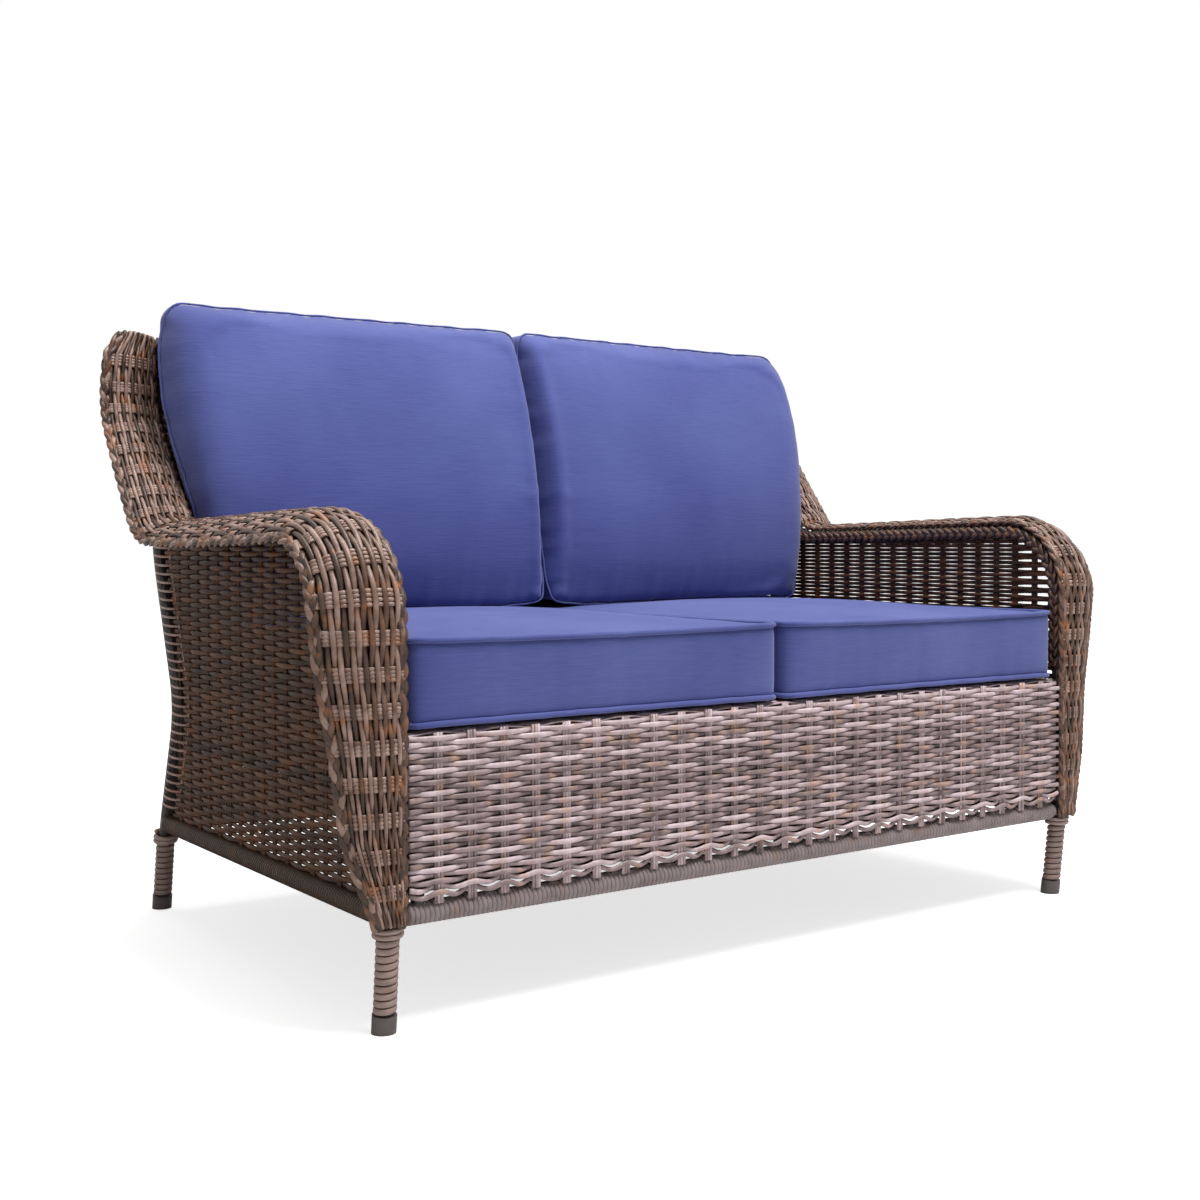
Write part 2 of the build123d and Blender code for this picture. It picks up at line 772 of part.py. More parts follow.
def cushion_outline(plane, width, height, draw, corner, flat_foot):
    """A cushion's outline on a plane, from its foot up: sides drawn in between round corners."""
    half = width / 2
    points = []
    corners = [(half, 0), (half, height), (-half, height), (-half, 0)]
    for index, (x, y) in enumerate(corners):
        centre_x = math.copysign(half - corner, x)
        centre_y = min(max(y, corner), height - corner)
        for turn in corner_turns:
            angle = math.radians(turn + 90 * index - 90)
            points.append((centre_x + corner * math.cos(angle), centre_y + corner * math.sin(angle)))
        next_x, next_y = corners[(index + 1) % len(corners)]
        turn = math.radians(90 * index)
        inward = (-math.cos(turn), -math.sin(turn))
        depth = 0 if flat_foot and index == len(corners) - 1 else draw
        start = points[-1]
        angle = math.radians(90 * index)
        end = (
            math.copysign(half - corner, next_x) + corner * math.cos(angle),
            min(max(next_y, corner), height - corner) + corner * math.sin(angle),
        )
        for share in side_shares:
            pull = depth * (1 - (1 - share - share) ** 2)
            points.append(
                (
                    start[0] + (end[0] - start[0]) * share + inward[0] * pull,
                    start[1] + (end[1] - start[1]) * share + inward[1] * pull,
                )
            )
    with BuildSketch(plane) as outline:
        with BuildLine():
            Polyline(*points, close=True)
        make_face()
    return outline.sketch


# Layers of a cushion's crown: share of its rise, and share of how far its edge draws in
crown_shares = [(0.50, 0.20), (0.34, 0.35), (0.16, 0.45)]


def layer(outline, height, inset):
    """A layer on an outline, drawn in all round towards its far face, which it returns."""
    way = outline.faces()[0].normal_at() * math.copysign(1, height)
    with BuildPart() as slab:
        extrude(outline, amount=height, taper=math.degrees(math.atan2(inset, abs(height))))
    add_to = slab.part
    far = max(add_to.faces(), key=lambda face: face.center().dot(way))
    return add_to, far


def crown_on(outline, rise, reach):
    """Layers that draw in over an outline, up to a cushion's crown."""
    for rise_share, reach_share in crown_shares:
        slab, outline = layer(outline, rise * rise_share, reach * reach_share)
        add(slab)


def make_seat_cushion(name, sign):
    """A boxed cushion, flat below, with drawn-in sides and a crowned top."""
    middle_x = sign * (cushion_split / 2 + seat_cushion_width / 2)
    bottom = deck_height + cloth_gap
    front = rail_front_y - seat_cushion_overhang
    depth = deck_back_y - seat_cushion_rear_gap - front
    low = Plane(origin=(middle_x, front, bottom + seat_edge_roll))
    outline = cushion_outline(
        low, seat_cushion_width, depth, seat_side_draw, seat_corner_radius, False
    )
    with BuildPart() as cushion:
        slab, seam = layer(outline, seat_boxing_height - seat_edge_roll, 0)
        add(slab)
        slab, foot = layer(outline, -seat_edge_roll, seat_edge_roll)
        add(slab)
        crown_on(seam, seat_cushion_height - seat_boxing_height, seat_crown_reach)
    save(cushion, name)


def back_section(middle_x, share_through, forward):
    """A leaning outline of a back cushion, at a share of the way from its rear to its front."""
    rear_foot_face = back_y(back_cushion_bottom) - square_tube / 2 / math.cos(back_lean) - cloth_gap
    rear_head_face = back_y(back_cushion_top) - square_tube / 2 / math.cos(back_lean) - cloth_gap
    foot_y = rear_foot_face - back_cushion_foot_thickness * share_through - forward
    head_y = rear_head_face - back_cushion_head_thickness * share_through - forward
    rise = back_cushion_top - back_cushion_bottom
    lean = math.atan2(head_y - foot_y, rise)
    tall = rise / math.cos(lean)
    origin = Vector(middle_x, foot_y, back_cushion_bottom)
    plane = Plane(origin=origin, x_dir=(1, 0, 0), z_dir=(0, -math.cos(lean), math.sin(lean)))
    return cushion_outline(
        plane, back_cushion_width, tall, back_side_draw, back_corner_radius, True
    )


def make_back_cushion(name, sign):
    """A leaning boxed cushion, thicker at its foot, crowned in front and drawn in at its sides."""
    middle_x = sign * (cushion_split / 2 + back_cushion_width / 2)
    edge = back_edge_roll / back_cushion_foot_thickness
    near = back_section(middle_x, 0, back_edge_roll / math.cos(back_lean))
    far = back_section(middle_x, 1 - edge, 0)
    with BuildPart() as cushion:
        loft([near, far], ruled=True)
        slab, rear = layer(near, -back_edge_roll, back_edge_roll)
        add(slab)
        crown_on(far.faces()[0], back_cushion_crown, back_crown_reach)
    save(cushion, name)


for side_name, side_sign in (("left", -1), ("right", 1)):
    make_seat_cushion(f"seat_cushion_{side_name}", side_sign)
    make_back_cushion(f"back_cushion_{side_name}", side_sign)
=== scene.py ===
"""Looks of the patio loveseat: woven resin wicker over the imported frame, and four stuffed cushions.

Everything is in metres, in the part's own axes: +X to the viewer's right, front faces -Y, +Z up.
Woven parts are strands, each with a thickness, laid on surfaces that follow the frame's tubes.
"""

import json
import math

import bpy
import numpy as np
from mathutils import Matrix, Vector
from mathutils.kdtree import KDTree


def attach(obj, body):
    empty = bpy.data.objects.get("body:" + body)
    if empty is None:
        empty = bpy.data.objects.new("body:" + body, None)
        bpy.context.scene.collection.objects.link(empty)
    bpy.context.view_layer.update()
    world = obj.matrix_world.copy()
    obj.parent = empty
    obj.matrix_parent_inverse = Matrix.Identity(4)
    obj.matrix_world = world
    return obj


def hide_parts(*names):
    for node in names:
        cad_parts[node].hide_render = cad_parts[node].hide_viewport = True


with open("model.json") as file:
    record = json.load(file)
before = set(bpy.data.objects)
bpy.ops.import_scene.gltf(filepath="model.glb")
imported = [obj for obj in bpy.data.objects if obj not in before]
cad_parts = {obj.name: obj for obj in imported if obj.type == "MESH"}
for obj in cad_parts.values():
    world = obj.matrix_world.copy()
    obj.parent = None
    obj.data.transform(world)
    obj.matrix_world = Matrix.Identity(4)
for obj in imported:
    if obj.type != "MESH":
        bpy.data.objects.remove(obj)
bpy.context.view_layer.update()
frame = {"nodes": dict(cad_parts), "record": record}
rng = np.random.default_rng(7)

FRAME = "loveseat_frame"
SIDE_NAMES = (("left", -1), ("right", 1))  # each side with its sign along x

# ---------------------------------------------------------------- sizes shared with the frame

# The bent tubes' corners are places (y, z); the radii are those of the bends between them
LEG_X = 0.593
TUBE_R = 0.0095
RAIL_R = 0.0125
ROPE_R = 0.006
HALF_WIDTH = 0.686
FRONT_LEG_Y = -0.3797
FRONT_FOOT_Y = -0.3667
REAR_FOOT_Y = 0.3733
REAR_ANKLE_Y = 0.3473
LOWER_RAIL_Z = 0.1355
LEG_TOP_Z = 0.128
DECK_TOP = 0.3453
BACK_FOOT = (0.318, 0.3393)  # y, z of the back frame's foot
BACK_HEAD = (0.390, 0.868)

ARM_POINTS = [
    (FRONT_FOOT_Y - 0.0005, 0.005),
    (FRONT_LEG_Y, LEG_TOP_Z),
    (FRONT_LEG_Y, 0.578),
    (0.2153, 0.569),
    (0.375, 0.748),
    (0.3935, 0.868),
]
ARM_RADII = [0.200, 0.100, 0.090, 0.140]
POST_POINTS = [
    (REAR_FOOT_Y - 0.001, 0.005),
    (REAR_ANKLE_Y, LOWER_RAIL_Z),
    (0.2813, 0.318),
    (0.3633, 0.548),
    (0.3783, 0.736),
]
POST_RADII = [0.300, 0.130, 0.300]

# Band over leg, arm and wing: share of its length, inner reach, outer reach, drop, crown
BAND_TABLE = np.array([
    (0.000, -0.85, 0.22, 0.10, 0.15),
    (0.073, -0.90, 0.60, 0.55, 0.45),
    (0.150, -1.00, 0.74, 0.75, 0.58),
    (0.215, -1.00, 0.92, 0.82, 0.65),
    (0.262, -1.00, 1.00, 0.82, 0.75),
    (0.310, -0.80, 1.00, 0.88, 0.90),
    (0.368, -0.35, 1.00, 0.96, 1.00),
    (0.470, 0.05, 1.00, 1.00, 1.00),
    (0.600, 0.20, 0.99, 1.00, 0.90),
    (0.705, 0.30, 0.99, 0.80, 0.75),
    (0.762, 0.30, 0.99, 0.30, 0.60),
    (0.830, 0.30, 0.99, 0.05, 0.60),
    (0.890, 0.25, 0.98, -0.25, 0.55),
    (0.940, 0.20, 0.97, -0.70, 0.50),
    (0.975, 0.05, 0.92, -1.00, 0.45),
    (1.000, -0.15, 0.66, -1.00, 0.35),
])
BAND_INNER, BAND_DROP, BAND_CROWN = 0.014, 0.027, 0.017
BAND_START = 0.122  # along the tube, from its lower end
BAND_SEAT = TUBE_R + 0.0008 + ROPE_R  # from the tube's middle to a rope edge's

STAKE_PITCH = 0.0445
WEAVER = (0.0066, 0.0042)  # width, thickness
STAKE = (0.0036, 0.0024)


# ---------------------------------------------------------------- lines and surfaces


def unit(vectors):
    """Vectors at length one."""
    return vectors / np.linalg.norm(vectors, axis=-1, keepdims=True)


def xyz(x, y, z):
    """Points from coordinates, each an array or one number."""
    return np.column_stack(np.broadcast_arrays(x, y, z))


class Bent:
    """The middle line of a bent tube in a side plane, as places (y, z) at even steps."""

    def __init__(self, points, radii, step=0.002, arc_points=24):
        points = [np.array(p, float) for p in points]
        path = [points[0]]
        for before, corner, after, radius in zip(points, points[1:], points[2:], radii):
            to_before, to_after = unit(before - corner), unit(after - corner)
            half = math.acos(np.clip(to_before @ to_after, -1, 1)) / 2
            start = corner + to_before * radius / math.tan(half)
            end = corner + to_after * radius / math.tan(half)
            centre = corner + unit(to_before + to_after) * radius / math.sin(half)
            first = math.atan2(*(start - centre)[::-1])
            turn = math.atan2(*(end - centre)[::-1]) - first
            turn = (turn + math.pi) % math.tau - math.pi
            for share in np.linspace(0, 1, arc_points):
                angle = first + turn * share
                path.append(centre + radius * np.array((math.cos(angle), math.sin(angle))))
        path = np.array(path + [points[-1]])
        reached = np.concatenate(([0], np.cumsum(np.linalg.norm(np.diff(path, axis=0), axis=1))))
        self.length = reached[-1]
        self.s = np.arange(0, self.length, step)
        self.yz = np.stack([np.interp(self.s, reached, path[:, i]) for i in (0, 1)], 1)
        self.way = unit(np.gradient(self.yz, axis=0))

    def at(self, s):
        """Places and directions (y, z) at distances along the line."""
        place = np.stack([np.interp(s, self.s, self.yz[:, i]) for i in (0, 1)], -1)
        way = np.stack([np.interp(s, self.s, self.way[:, i]) for i in (0, 1)], -1)
        return place, unit(way)

    def crossings(self, height):
        """Where the line crosses a height, as its y there."""
        above = self.yz[:, 1] > height
        found = np.nonzero(above[1:] != above[:-1])[0]
        places = []
        for i in found:
            (y0, z0), (y1, z1) = self.yz[i], self.yz[i + 1]
            places.append(y0 + (y1 - y0) * (height - z0) / (z1 - z0))
        return places

    def between(self, low, high):
        """The line's places whose heights lie between two."""
        return self.yz[(self.yz[:, 1] > low) & (self.yz[:, 1] < high)]


arm_line = Bent(ARM_POINTS, ARM_RADII)
post_line = Bent(POST_POINTS, POST_RADII)
BAND_LENGTH = arm_line.length - BAND_START


def band_surface(sign, share, across):
    """Points of an arm band: share of its length, and 0 to 1 from its inner to its outer edge."""
    share, across = np.broadcast_arrays(share, across)
    inner, outer, drop, crown = (
        np.interp(share, BAND_TABLE[:, 0], BAND_TABLE[:, i])[..., None] for i in (1, 2, 3, 4)
    )
    place, way = arm_line.at(BAND_START + np.clip(share, 0, 1) * BAND_LENGTH)
    centre = np.concatenate([np.full(place.shape[:-1] + (1,), sign * LEG_X), place], -1)
    proud = np.stack([np.zeros(way.shape[:-1]), -way[..., 1], way[..., 0]], -1)
    outward = np.array((sign, 0.0, 0.0))
    outer_reach = HALF_WIDTH - ROPE_R - LEG_X
    inner_edge = centre + outward * inner * BAND_INNER + proud * BAND_SEAT
    outer_edge = centre + outward * outer * outer_reach + proud * (BAND_SEAT - drop * BAND_DROP)
    bow = (1 - (1 - 2 * across) ** 2)[..., None]
    chord = inner_edge + (outer_edge - inner_edge) * across[..., None]
    return chord + proud * crown * BAND_CROWN * bow


def band_frame(sign, share, across, step=0.002):
    """Points of an arm band with its outward normals, and its width there."""
    share, across = np.broadcast_arrays(np.asarray(share, float), np.asarray(across, float))

    def surface(share, across):
        return band_surface(sign, share, across)

    along = surface(np.minimum(share + step, 1), across) - surface(np.maximum(share - step, 0), across)
    over = surface(share, across + step) - surface(share, across - step)
    normal = unit(np.cross(over, along)) * sign
    edges = surface(share, np.ones_like(across)) - surface(share, np.zeros_like(across))
    return surface(share, across), normal, np.linalg.norm(edges, axis=-1)


# ---------------------------------------------------------------- strands into meshes

SECTION_SIDES = {"round": 8, "six": 6}
FLAT_SECTION = np.array([(-1, -0.5), (-0.8, 0.7), (0, 1.0), (0.8, 0.7), (1, -0.5), (0, -1.0)])


def section_of(kind):
    """A strand's section: across and out from its middle, each from -1 to 1."""
    if kind == "flat":
        return FLAT_SECTION
    count = SECTION_SIDES[kind]
    turns = np.arange(count) * math.tau / count + math.pi / count
    return np.stack([-np.cos(turns), np.sin(turns)], 1) / math.cos(math.pi / count)


class Strands:
    """Many strands gathered into one mesh, with a tone for each that its material reads."""

    def __init__(self):
        self.points, self.faces, self.tones, self.count = [], [], [], 0

    def add(self, path, up, width, height, kind="six", tone=None, closed=False):
        """A strand along a path, its face towards up."""
        path = np.asarray(path, float)
        up = np.broadcast_to(np.asarray(up, float), path.shape)
        if closed:
            way = unit(np.roll(path, -1, 0) - np.roll(path, 1, 0))
        else:
            way = unit(np.gradient(path, axis=0))
        across = unit(np.cross(way, up))
        out = np.cross(across, way)
        ring = section_of(kind)
        width, height = (
            np.broadcast_to(np.asarray(size, float), (len(path),))[:, None, None] / 2
            for size in (width, height)
        )
        shape = (
            path[:, None]
            + across[:, None] * ring[None, :, :1] * width
            + out[:, None] * ring[None, :, 1:] * height
        )
        n, m = len(path), len(ring)
        index = np.arange(n * m).reshape(n, m) + self.count
        first, last = (index, np.roll(index, -1, 0)) if closed else (index[:-1], index[1:])
        quads = np.stack([first, last, np.roll(last, -1, 1), np.roll(first, -1, 1)], -1)
        self.faces.append(quads.reshape(-1, 4))
        if not closed:
            for end, flip in ((index[0], False), (index[-1], True)):
                caps = [
                    (end[i], end[i + 1], end[m - 2 - i], end[m - 1 - i]) for i in range(m // 2 - 1)
                ]
                self.faces.append(np.array([c[::-1] if flip else c for c in caps]))
        self.points.append(shape.reshape(-1, 3))
        tone = rng.uniform(0, 1) if tone is None else tone
        self.tones.append(np.full(n * m, tone))
        self.count += n * m

    def build(self, name, slot, material, *replaced, body=FRAME):
        """The gathered strands as one piece that rides on a body."""
        piece = mesh_piece(
            name, np.concatenate(self.points), np.concatenate(self.faces), body, material
        )
        tone = piece.data.attributes.new("tone", "FLOAT", "POINT")
        tone.data.foreach_set("value", np.concatenate(self.tones).astype(np.float32))
        if replaced:
            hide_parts(*replaced)


def mesh_piece(name, points, quads, body, material):
    """A smooth mesh of four-sided faces that rides on a body."""
    mesh = bpy.data.meshes.new(name)
    mesh.vertices.add(len(points))
    mesh.vertices.foreach_set("co", np.asarray(points, np.float32).ravel())
    mesh.loops.add(quads.size)
    mesh.loops.foreach_set("vertex_index", quads.astype(np.int32).ravel())
    mesh.polygons.add(len(quads))
    mesh.polygons.foreach_set("loop_start", np.arange(0, quads.size, 4, dtype=np.int32))
    mesh.polygons.foreach_set("loop_total", np.full(len(quads), 4, np.int32))
    mesh.polygons.foreach_set("use_smooth", np.ones(len(quads), bool))
    mesh.update(calc_edges=True)
    mesh.validate()
    piece = bpy.data.objects.new(name, mesh)
    bpy.context.scene.collection.objects.link(piece)
    mesh.materials.append(material)
    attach(piece, body)
    return piece


# ---------------------------------------------------------------- materials


def linear(red, green, blue):
    """A colour written as it looks on screen, 0 to 255, as the shader's linear values."""
    return tuple(
        ((c / 255 + 0.055) / 1.055) ** 2.4 if c > 10 else c / 3294 for c in (red, green, blue)
    ) + (1,)


def grey(value):
    """A grey as a shader's colour."""
    return (value,) * 3 + (1,)


class Tree:
    """A node tree, with short ways to add nodes and to join them."""

    def __init__(self, tree):
        self.nodes, self.links = tree.nodes, tree.links

    def add(self, kind, values=(), **settings):
        """A new node with its settings, and its sockets' values or links by name or number."""
        node = self.nodes.new("ShaderNode" + kind)
        for name, value in settings.items():
            setattr(node, name, value)
        for socket, value in dict(values).items():
            self.plug(node.inputs[socket], value)
        return node

    def plug(self, socket, value):
        """Puts a link or a plain value into a socket."""
        if isinstance(value, bpy.types.NodeSocket):
            self.links.new(value, socket)
        else:
            socket.default_value = value

    def calculate(self, operation, *values):
        """A sum with sockets and numbers."""
        return self.add("Math", enumerate(values), operation=operation).outputs[0]

    def ramp(self, share, stops):
        """A colour for a share, through (place, colour) stops."""
        node = self.add("ValToRGB", {"Fac": share})
        elements = node.color_ramp.elements
        while len(elements) < len(stops):
            elements.new(0.5)
        for element, (place, colour) in zip(elements, stops):
            element.position, element.color = place, colour
        return node.outputs["Color"]

    def mix(self, share, first, second):
        """A colour between two others."""
        return self.add("Mix", {0: share, 6: first, 7: second}, data_type="RGBA").outputs[2]

    def place(self):
        """The piece's own coordinates."""
        return self.add("TexCoord").outputs["Object"]

    def noise(self, scale, detail, stretch=None):
        """Noise in the piece's own coordinates, stretched where asked."""
        place = self.place()
        if stretch:
            place = self.add("Mapping", {"Scale": stretch, "Vector": place}).outputs["Vector"]
        texture = self.add("TexNoise", {"Scale": scale, "Detail": detail, "Vector": place})
        return texture.outputs["Fac"]

    def bump(self, height, strength, distance, over=None):
        """A normal raised by a height, over another normal where given."""
        values = {"Strength": strength, "Distance": distance, "Height": height}
        if over:
            values["Normal"] = over
        return self.add("Bump", values).outputs["Normal"]


class Shading(Tree):
    """A new material, its tree and its Principled shader."""

    def __init__(self, name):
        self.material = bpy.data.materials.new(name)
        self.material.use_nodes = True
        super().__init__(self.material.node_tree)
        self.shader = self.nodes["Principled BSDF"]

    def set(self, **values):
        """Puts links or plain values into the shader's sockets, with _ for each space."""
        for socket, value in values.items():
            self.plug(self.shader.inputs[socket.replace("_", " ")], value)

    def grained(self, scale, smooth, rough, strength, distance):
        """A fine grain that the shader's roughness and normal follow."""
        grain = self.noise(scale, 3.0)
        self.set(
            Roughness=self.ramp(grain, [(0.3, grey(smooth)), (0.7, grey(rough))]),
            Normal=self.bump(grain, strength, distance),
        )


MOTTLE_SCALE, MOTTLE_SHARE = 58.0, 0.8
TONE_SHARE, TONE_SHIFT = 0.60, -0.25
FLECK_SCALE, FLECK_SHARE = 46.0, 0.6


def wicker(name, dark, middle, light, tan, roughness=0.46, specular=0.45):
    """Resin strand: each strand in its own tone, mottled, with tan flecks and a fine grain."""
    look = Shading(name)
    tone = look.add("Attribute", attribute_name="tone").outputs["Fac"]
    shift = look.calculate("MULTIPLY_ADD", tone, TONE_SHARE, TONE_SHIFT)
    place = look.calculate("MULTIPLY_ADD", look.noise(MOTTLE_SCALE, 3.0), MOTTLE_SHARE, shift)
    strand = look.ramp(place, [(0.0, linear(*dark)), (0.45, linear(*middle)), (1.0, linear(*light))])
    flecks = look.ramp(look.noise(FLECK_SCALE, 2.0), [(0.56, grey(0)), (0.72, grey(1))])
    share = look.calculate("MULTIPLY", flecks, FLECK_SHARE)
    look.set(Base_Color=look.mix(share, strand, linear(*tan)), Specular_IOR_Level=specular)
    look.grained(900.0, roughness - 0.08, roughness + 0.12, 0.25, 0.0006)
    return look.material


def hard(name, base, worn, roughness, metallic, grain_scale, bump_strength):
    """Paint, plastic or plated steel: a base colour clouded with a worn one, and a fine grain."""
    look = Shading(name)
    clouds = look.ramp(look.noise(60.0, 4.0), [(0.35, grey(0)), (0.75, grey(1))])
    look.set(Base_Color=look.mix(clouds, linear(*base), linear(*worn)), Metallic=metallic)
    look.grained(grain_scale, roughness - 0.06, roughness + 0.1, bump_strength, 0.0004)
    return look.material


def fabric(name, base, faded):
    """Woven outdoor cloth: fine threads both ways, horizontal slubs, and a little fading."""
    look = Shading(name)
    slubs = look.noise(60.0, 4.0, stretch=(0.5, 0.5, 9.0))
    share = look.calculate("MULTIPLY_ADD", slubs, 0.5, look.noise(5.0, 3.0))
    spread = look.ramp(share, [(0.45, grey(0)), (1.0, grey(1))])
    threads = [
        look.add(
            "TexWave", {"Scale": 260.0, "Distortion": 1.5, "Detail": 1.0, "Vector": look.place()},
            wave_type="BANDS", bands_direction=direction,
        ).outputs["Fac"]
        for direction in ("X", "Z")
    ]
    woven = look.bump(look.calculate("ADD", *threads), 0.22, 0.0005)
    look.set(
        Base_Color=look.mix(spread, linear(*base), linear(*faded)),
        Normal=look.bump(slubs, 0.25, 0.0015, over=woven),
        Roughness=0.86, Specular_IOR_Level=0.2, Sheen_Weight=0.25, Sheen_Roughness=0.5,
    )
    return look.material


# Each wicker: dark, middle and light tones, and its tan flecks
# The lit copy of the wicker, for the front apron and the seat deck: its tones are lightened as painted
# light on the front faces
lit_wicker = wicker(
    "wicker_lit", (66, 48, 44), (168, 145, 146), (234, 215, 220), (192, 152, 124), 0.40, 0.55
)
band_wicker = wicker("wicker_band", (32, 18, 12), (94, 66, 50), (190, 161, 149), (158, 102, 60), 0.40)
# A darker copy of the wicker for the side panels, the back, the rear apron and the back's row ends:
# partly its own warmer brown, mostly painted shade
shaded_wicker = wicker("wicker_side", (34, 19, 10), (70, 43, 25), (102, 70, 46), (120, 70, 34), 0.5, 0.22)
wrap_wicker = wicker("wicker_wrap", (110, 92, 86), (156, 132, 124), (182, 160, 152), (166, 126, 100))
rail_wicker = wicker("wicker_rail", (84, 72, 70), (134, 120, 120), (164, 150, 152), (140, 116, 100))
# The darkest copy of the wicker: painted deep shade, for parts that lie under or behind others and for
# the side rails
deep_shade_wicker = wicker("wicker_deep_shade", (30, 18, 12), (54, 38, 28), (80, 60, 46), (106, 68, 36), 0.5, 0.22)
cloth = fabric("cushion_cloth", (68, 76, 139), (86, 95, 156))

# Each hard finish: base and worn colour, roughness, metallic, grain's scale and strength
SLOT_MATERIALS = {
    "frame_paint": hard("frame_paint", (46, 36, 32), (66, 54, 48), 0.42, 0.0, 500.0, 0.2),
    "glide_plastic": hard("glide_plastic", (84, 76, 74), (104, 94, 92), 0.5, 0.0, 700.0, 0.15),
    "zinc_steel": hard("zinc_steel", (150, 150, 152), (176, 176, 178), 0.34, 1.0, 900.0, 0.1),
    "wicker_wrap": rail_wicker,
}
for part in frame["record"]["subparts"]:
    material = SLOT_MATERIALS.get(part["material_slot"])
    if material:
        node = frame["nodes"][part["node"]]
        node.data.materials.clear()
        node.data.materials.append(material)


# ---------------------------------------------------------------- camera, lamps, world and floor

CAMERA_PLACE, CAMERA_TURNS = (-1.3821, -1.9074, 0.5574), (90 - 2.09, 0.18, -35.396)
camera = bpy.data.objects.new("camera", bpy.data.cameras.new("camera"))
bpy.context.scene.collection.objects.link(camera)
camera.data.lens = 45.39
camera.data.sensor_width = 36
camera.data.clip_end = 60
camera.location = CAMERA_PLACE
camera.rotation_euler = [math.radians(turn) for turn in CAMERA_TURNS]
bpy.context.scene.camera = camera

LAMP_TARGET = Vector((0, 0, 0.4))
LAMPS = (  # name, place, size, power
    ("key", (0.5, -1.7, 4.1), 1.8, 168),
    ("fill", (-3.4, -2.2, 2.0), 3.0, 7),
    ("top", (0.0, 0.1, 3.9), 2.6, 76),
)
for name, place, size, power in LAMPS:
    light = bpy.data.objects.new(name, bpy.data.lights.new(name, "AREA"))
    light.data.shape, light.data.size, light.data.energy = "SQUARE", size, power
    bpy.context.scene.collection.objects.link(light)
    light.location = place
    light.rotation_euler = (LAMP_TARGET - Vector(place)).to_track_quat("-Z", "Y").to_euler()

# A dim world to light by, and a white one to look at
AMBIENT = 0.22
world = bpy.data.worlds.new("world")
bpy.context.scene.world = world
world.use_nodes = True
sky = Tree(world.node_tree)
sky.nodes.clear()
rays = sky.add("LightPath").outputs
seen = sky.calculate("MAXIMUM", rays["Is Camera Ray"], rays["Is Glossy Ray"])
seen = sky.calculate("MAXIMUM", seen, rays["Is Transmission Ray"])
ambient, white = (
    sky.add("Background", {"Color": grey(1), "Strength": strength}).outputs[0]
    for strength in (AMBIENT, 1.0)
)
both = sky.add("MixShader", {0: seen, 1: ambient, 2: white}).outputs[0]
sky.add("OutputWorld", {"Surface": both})

# A pale floor that takes the shadow near the piece and glows to white further out
FLOOR_REACH = 12
GLOW_NEAR, GLOW_START, GLOW_END = 0.72, 0.9, 2.2
corners = [(x * FLOOR_REACH, y * FLOOR_REACH, 0) for x, y in ((-1, -1), (1, -1), (1, 1), (-1, 1))]
floor_mesh = bpy.data.meshes.new("floor")
floor_mesh.from_pydata(corners, [], [(0, 1, 2, 3)])
floor = bpy.data.objects.new("floor", floor_mesh)
bpy.context.scene.collection.objects.link(floor)
ground = Shading("floor")
ground.set(Base_Color=grey(0.8), Roughness=0.9)
distance = ground.add("VectorMath", {0: ground.place()}, operation="LENGTH").outputs["Value"]
reach = ground.add("MapRange", {"Value": distance, "From Min": GLOW_START, "From Max": GLOW_END})
fade = ground.ramp(reach.outputs["Result"], [(0.0, grey(GLOW_NEAR)), (1.0, grey(1))])
camera_ray = ground.add("LightPath").outputs["Is Camera Ray"]
glow = ground.add("Emission", {"Strength": camera_ray, "Color": fade}).outputs[0]
added = ground.add("AddShader", {0: ground.shader.outputs[0], 1: glow}).outputs[0]
ground.plug(ground.nodes["Material Output"].inputs["Surface"], added)
floor_mesh.materials.append(ground.material)


# ---------------------------------------------------------------- weaving

ROW_WOBBLE = 0.00025
STAKE_WOBBLE = 0.0002
STAKE_SPREAD = 1.1  # between a stake's strands, by their width
STAKE_STEP = 0.012
STAKE_STRANDS = 3


def over_under(phase):
    """How far a strand stands out at a phase: 1 over a stake, -1 under the next."""
    wave = np.cos(phase)
    return wave * (1.25 - 0.25 * wave * wave)


def weave(name, slot, material, node, surface, rows, row_pitch, row_start, span, stakes,
          amp=0.0022, weaver=WEAVER, stake_span=None, kind="six", steps=6, plump=0.16,
          shift=None, trim=None):
    """A panel of weavers that go over and under stakes.

    surface(u, v) gives points and normals. Rows are at v; stakes are at each u in stakes.
    trim(v) may give the ends of a row instead of span, and stake_span(u) those of a stake.
    """
    weavers, uprights = Strands(), Strands()
    pitch = stakes[1] - stakes[0]
    for row in range(rows):
        v = row_start + row * row_pitch
        start, end = span if trim is None else trim(v)
        u = np.linspace(start, end, max(int((end - start) / pitch * steps) + 1, 4))
        phase = math.pi * ((u - stakes[0]) / pitch + row)
        wave = over_under(phase)
        height = np.full_like(u, v) if shift is None else v + shift(u, row)
        point, normal = surface(u, height)
        wobble = rng.normal(0, ROW_WOBBLE, 3)[0]
        point = point + normal * (wave * amp + wobble)[:, None]
        width = weaver[0] * (1 + plump * np.abs(wave))
        weavers.add(point, normal, width, weaver[1], kind)
    for u0 in stakes:
        low, high = stake_span(u0) if stake_span else (row_start, row_start + (rows - 1) * row_pitch)
        for k in range(STAKE_STRANDS):
            v = np.linspace(low, high, max(int((high - low) / STAKE_STEP), 3))
            u = np.full_like(v, u0 + (k - (STAKE_STRANDS - 1) / 2) * STAKE[0] * STAKE_SPREAD)
            point, normal = surface(u + rng.normal(0, STAKE_WOBBLE), v)
            uprights.add(point, normal, STAKE[0], STAKE[1])
    weavers.build(name + "_weavers", slot, material, node)
    uprights.build(name + "_stakes", slot, material)


def plane_surface(origin, across, up):
    """A flat surface: u across and v up from an origin, its normal their cross product."""
    origin, across, up = (np.array(a, float) for a in (origin, across, up))
    normal = np.cross(across, up)

    def surface(u, v):
        point = origin + u[:, None] * across + v[:, None] * up
        return point, np.broadcast_to(normal, point.shape)

    return surface


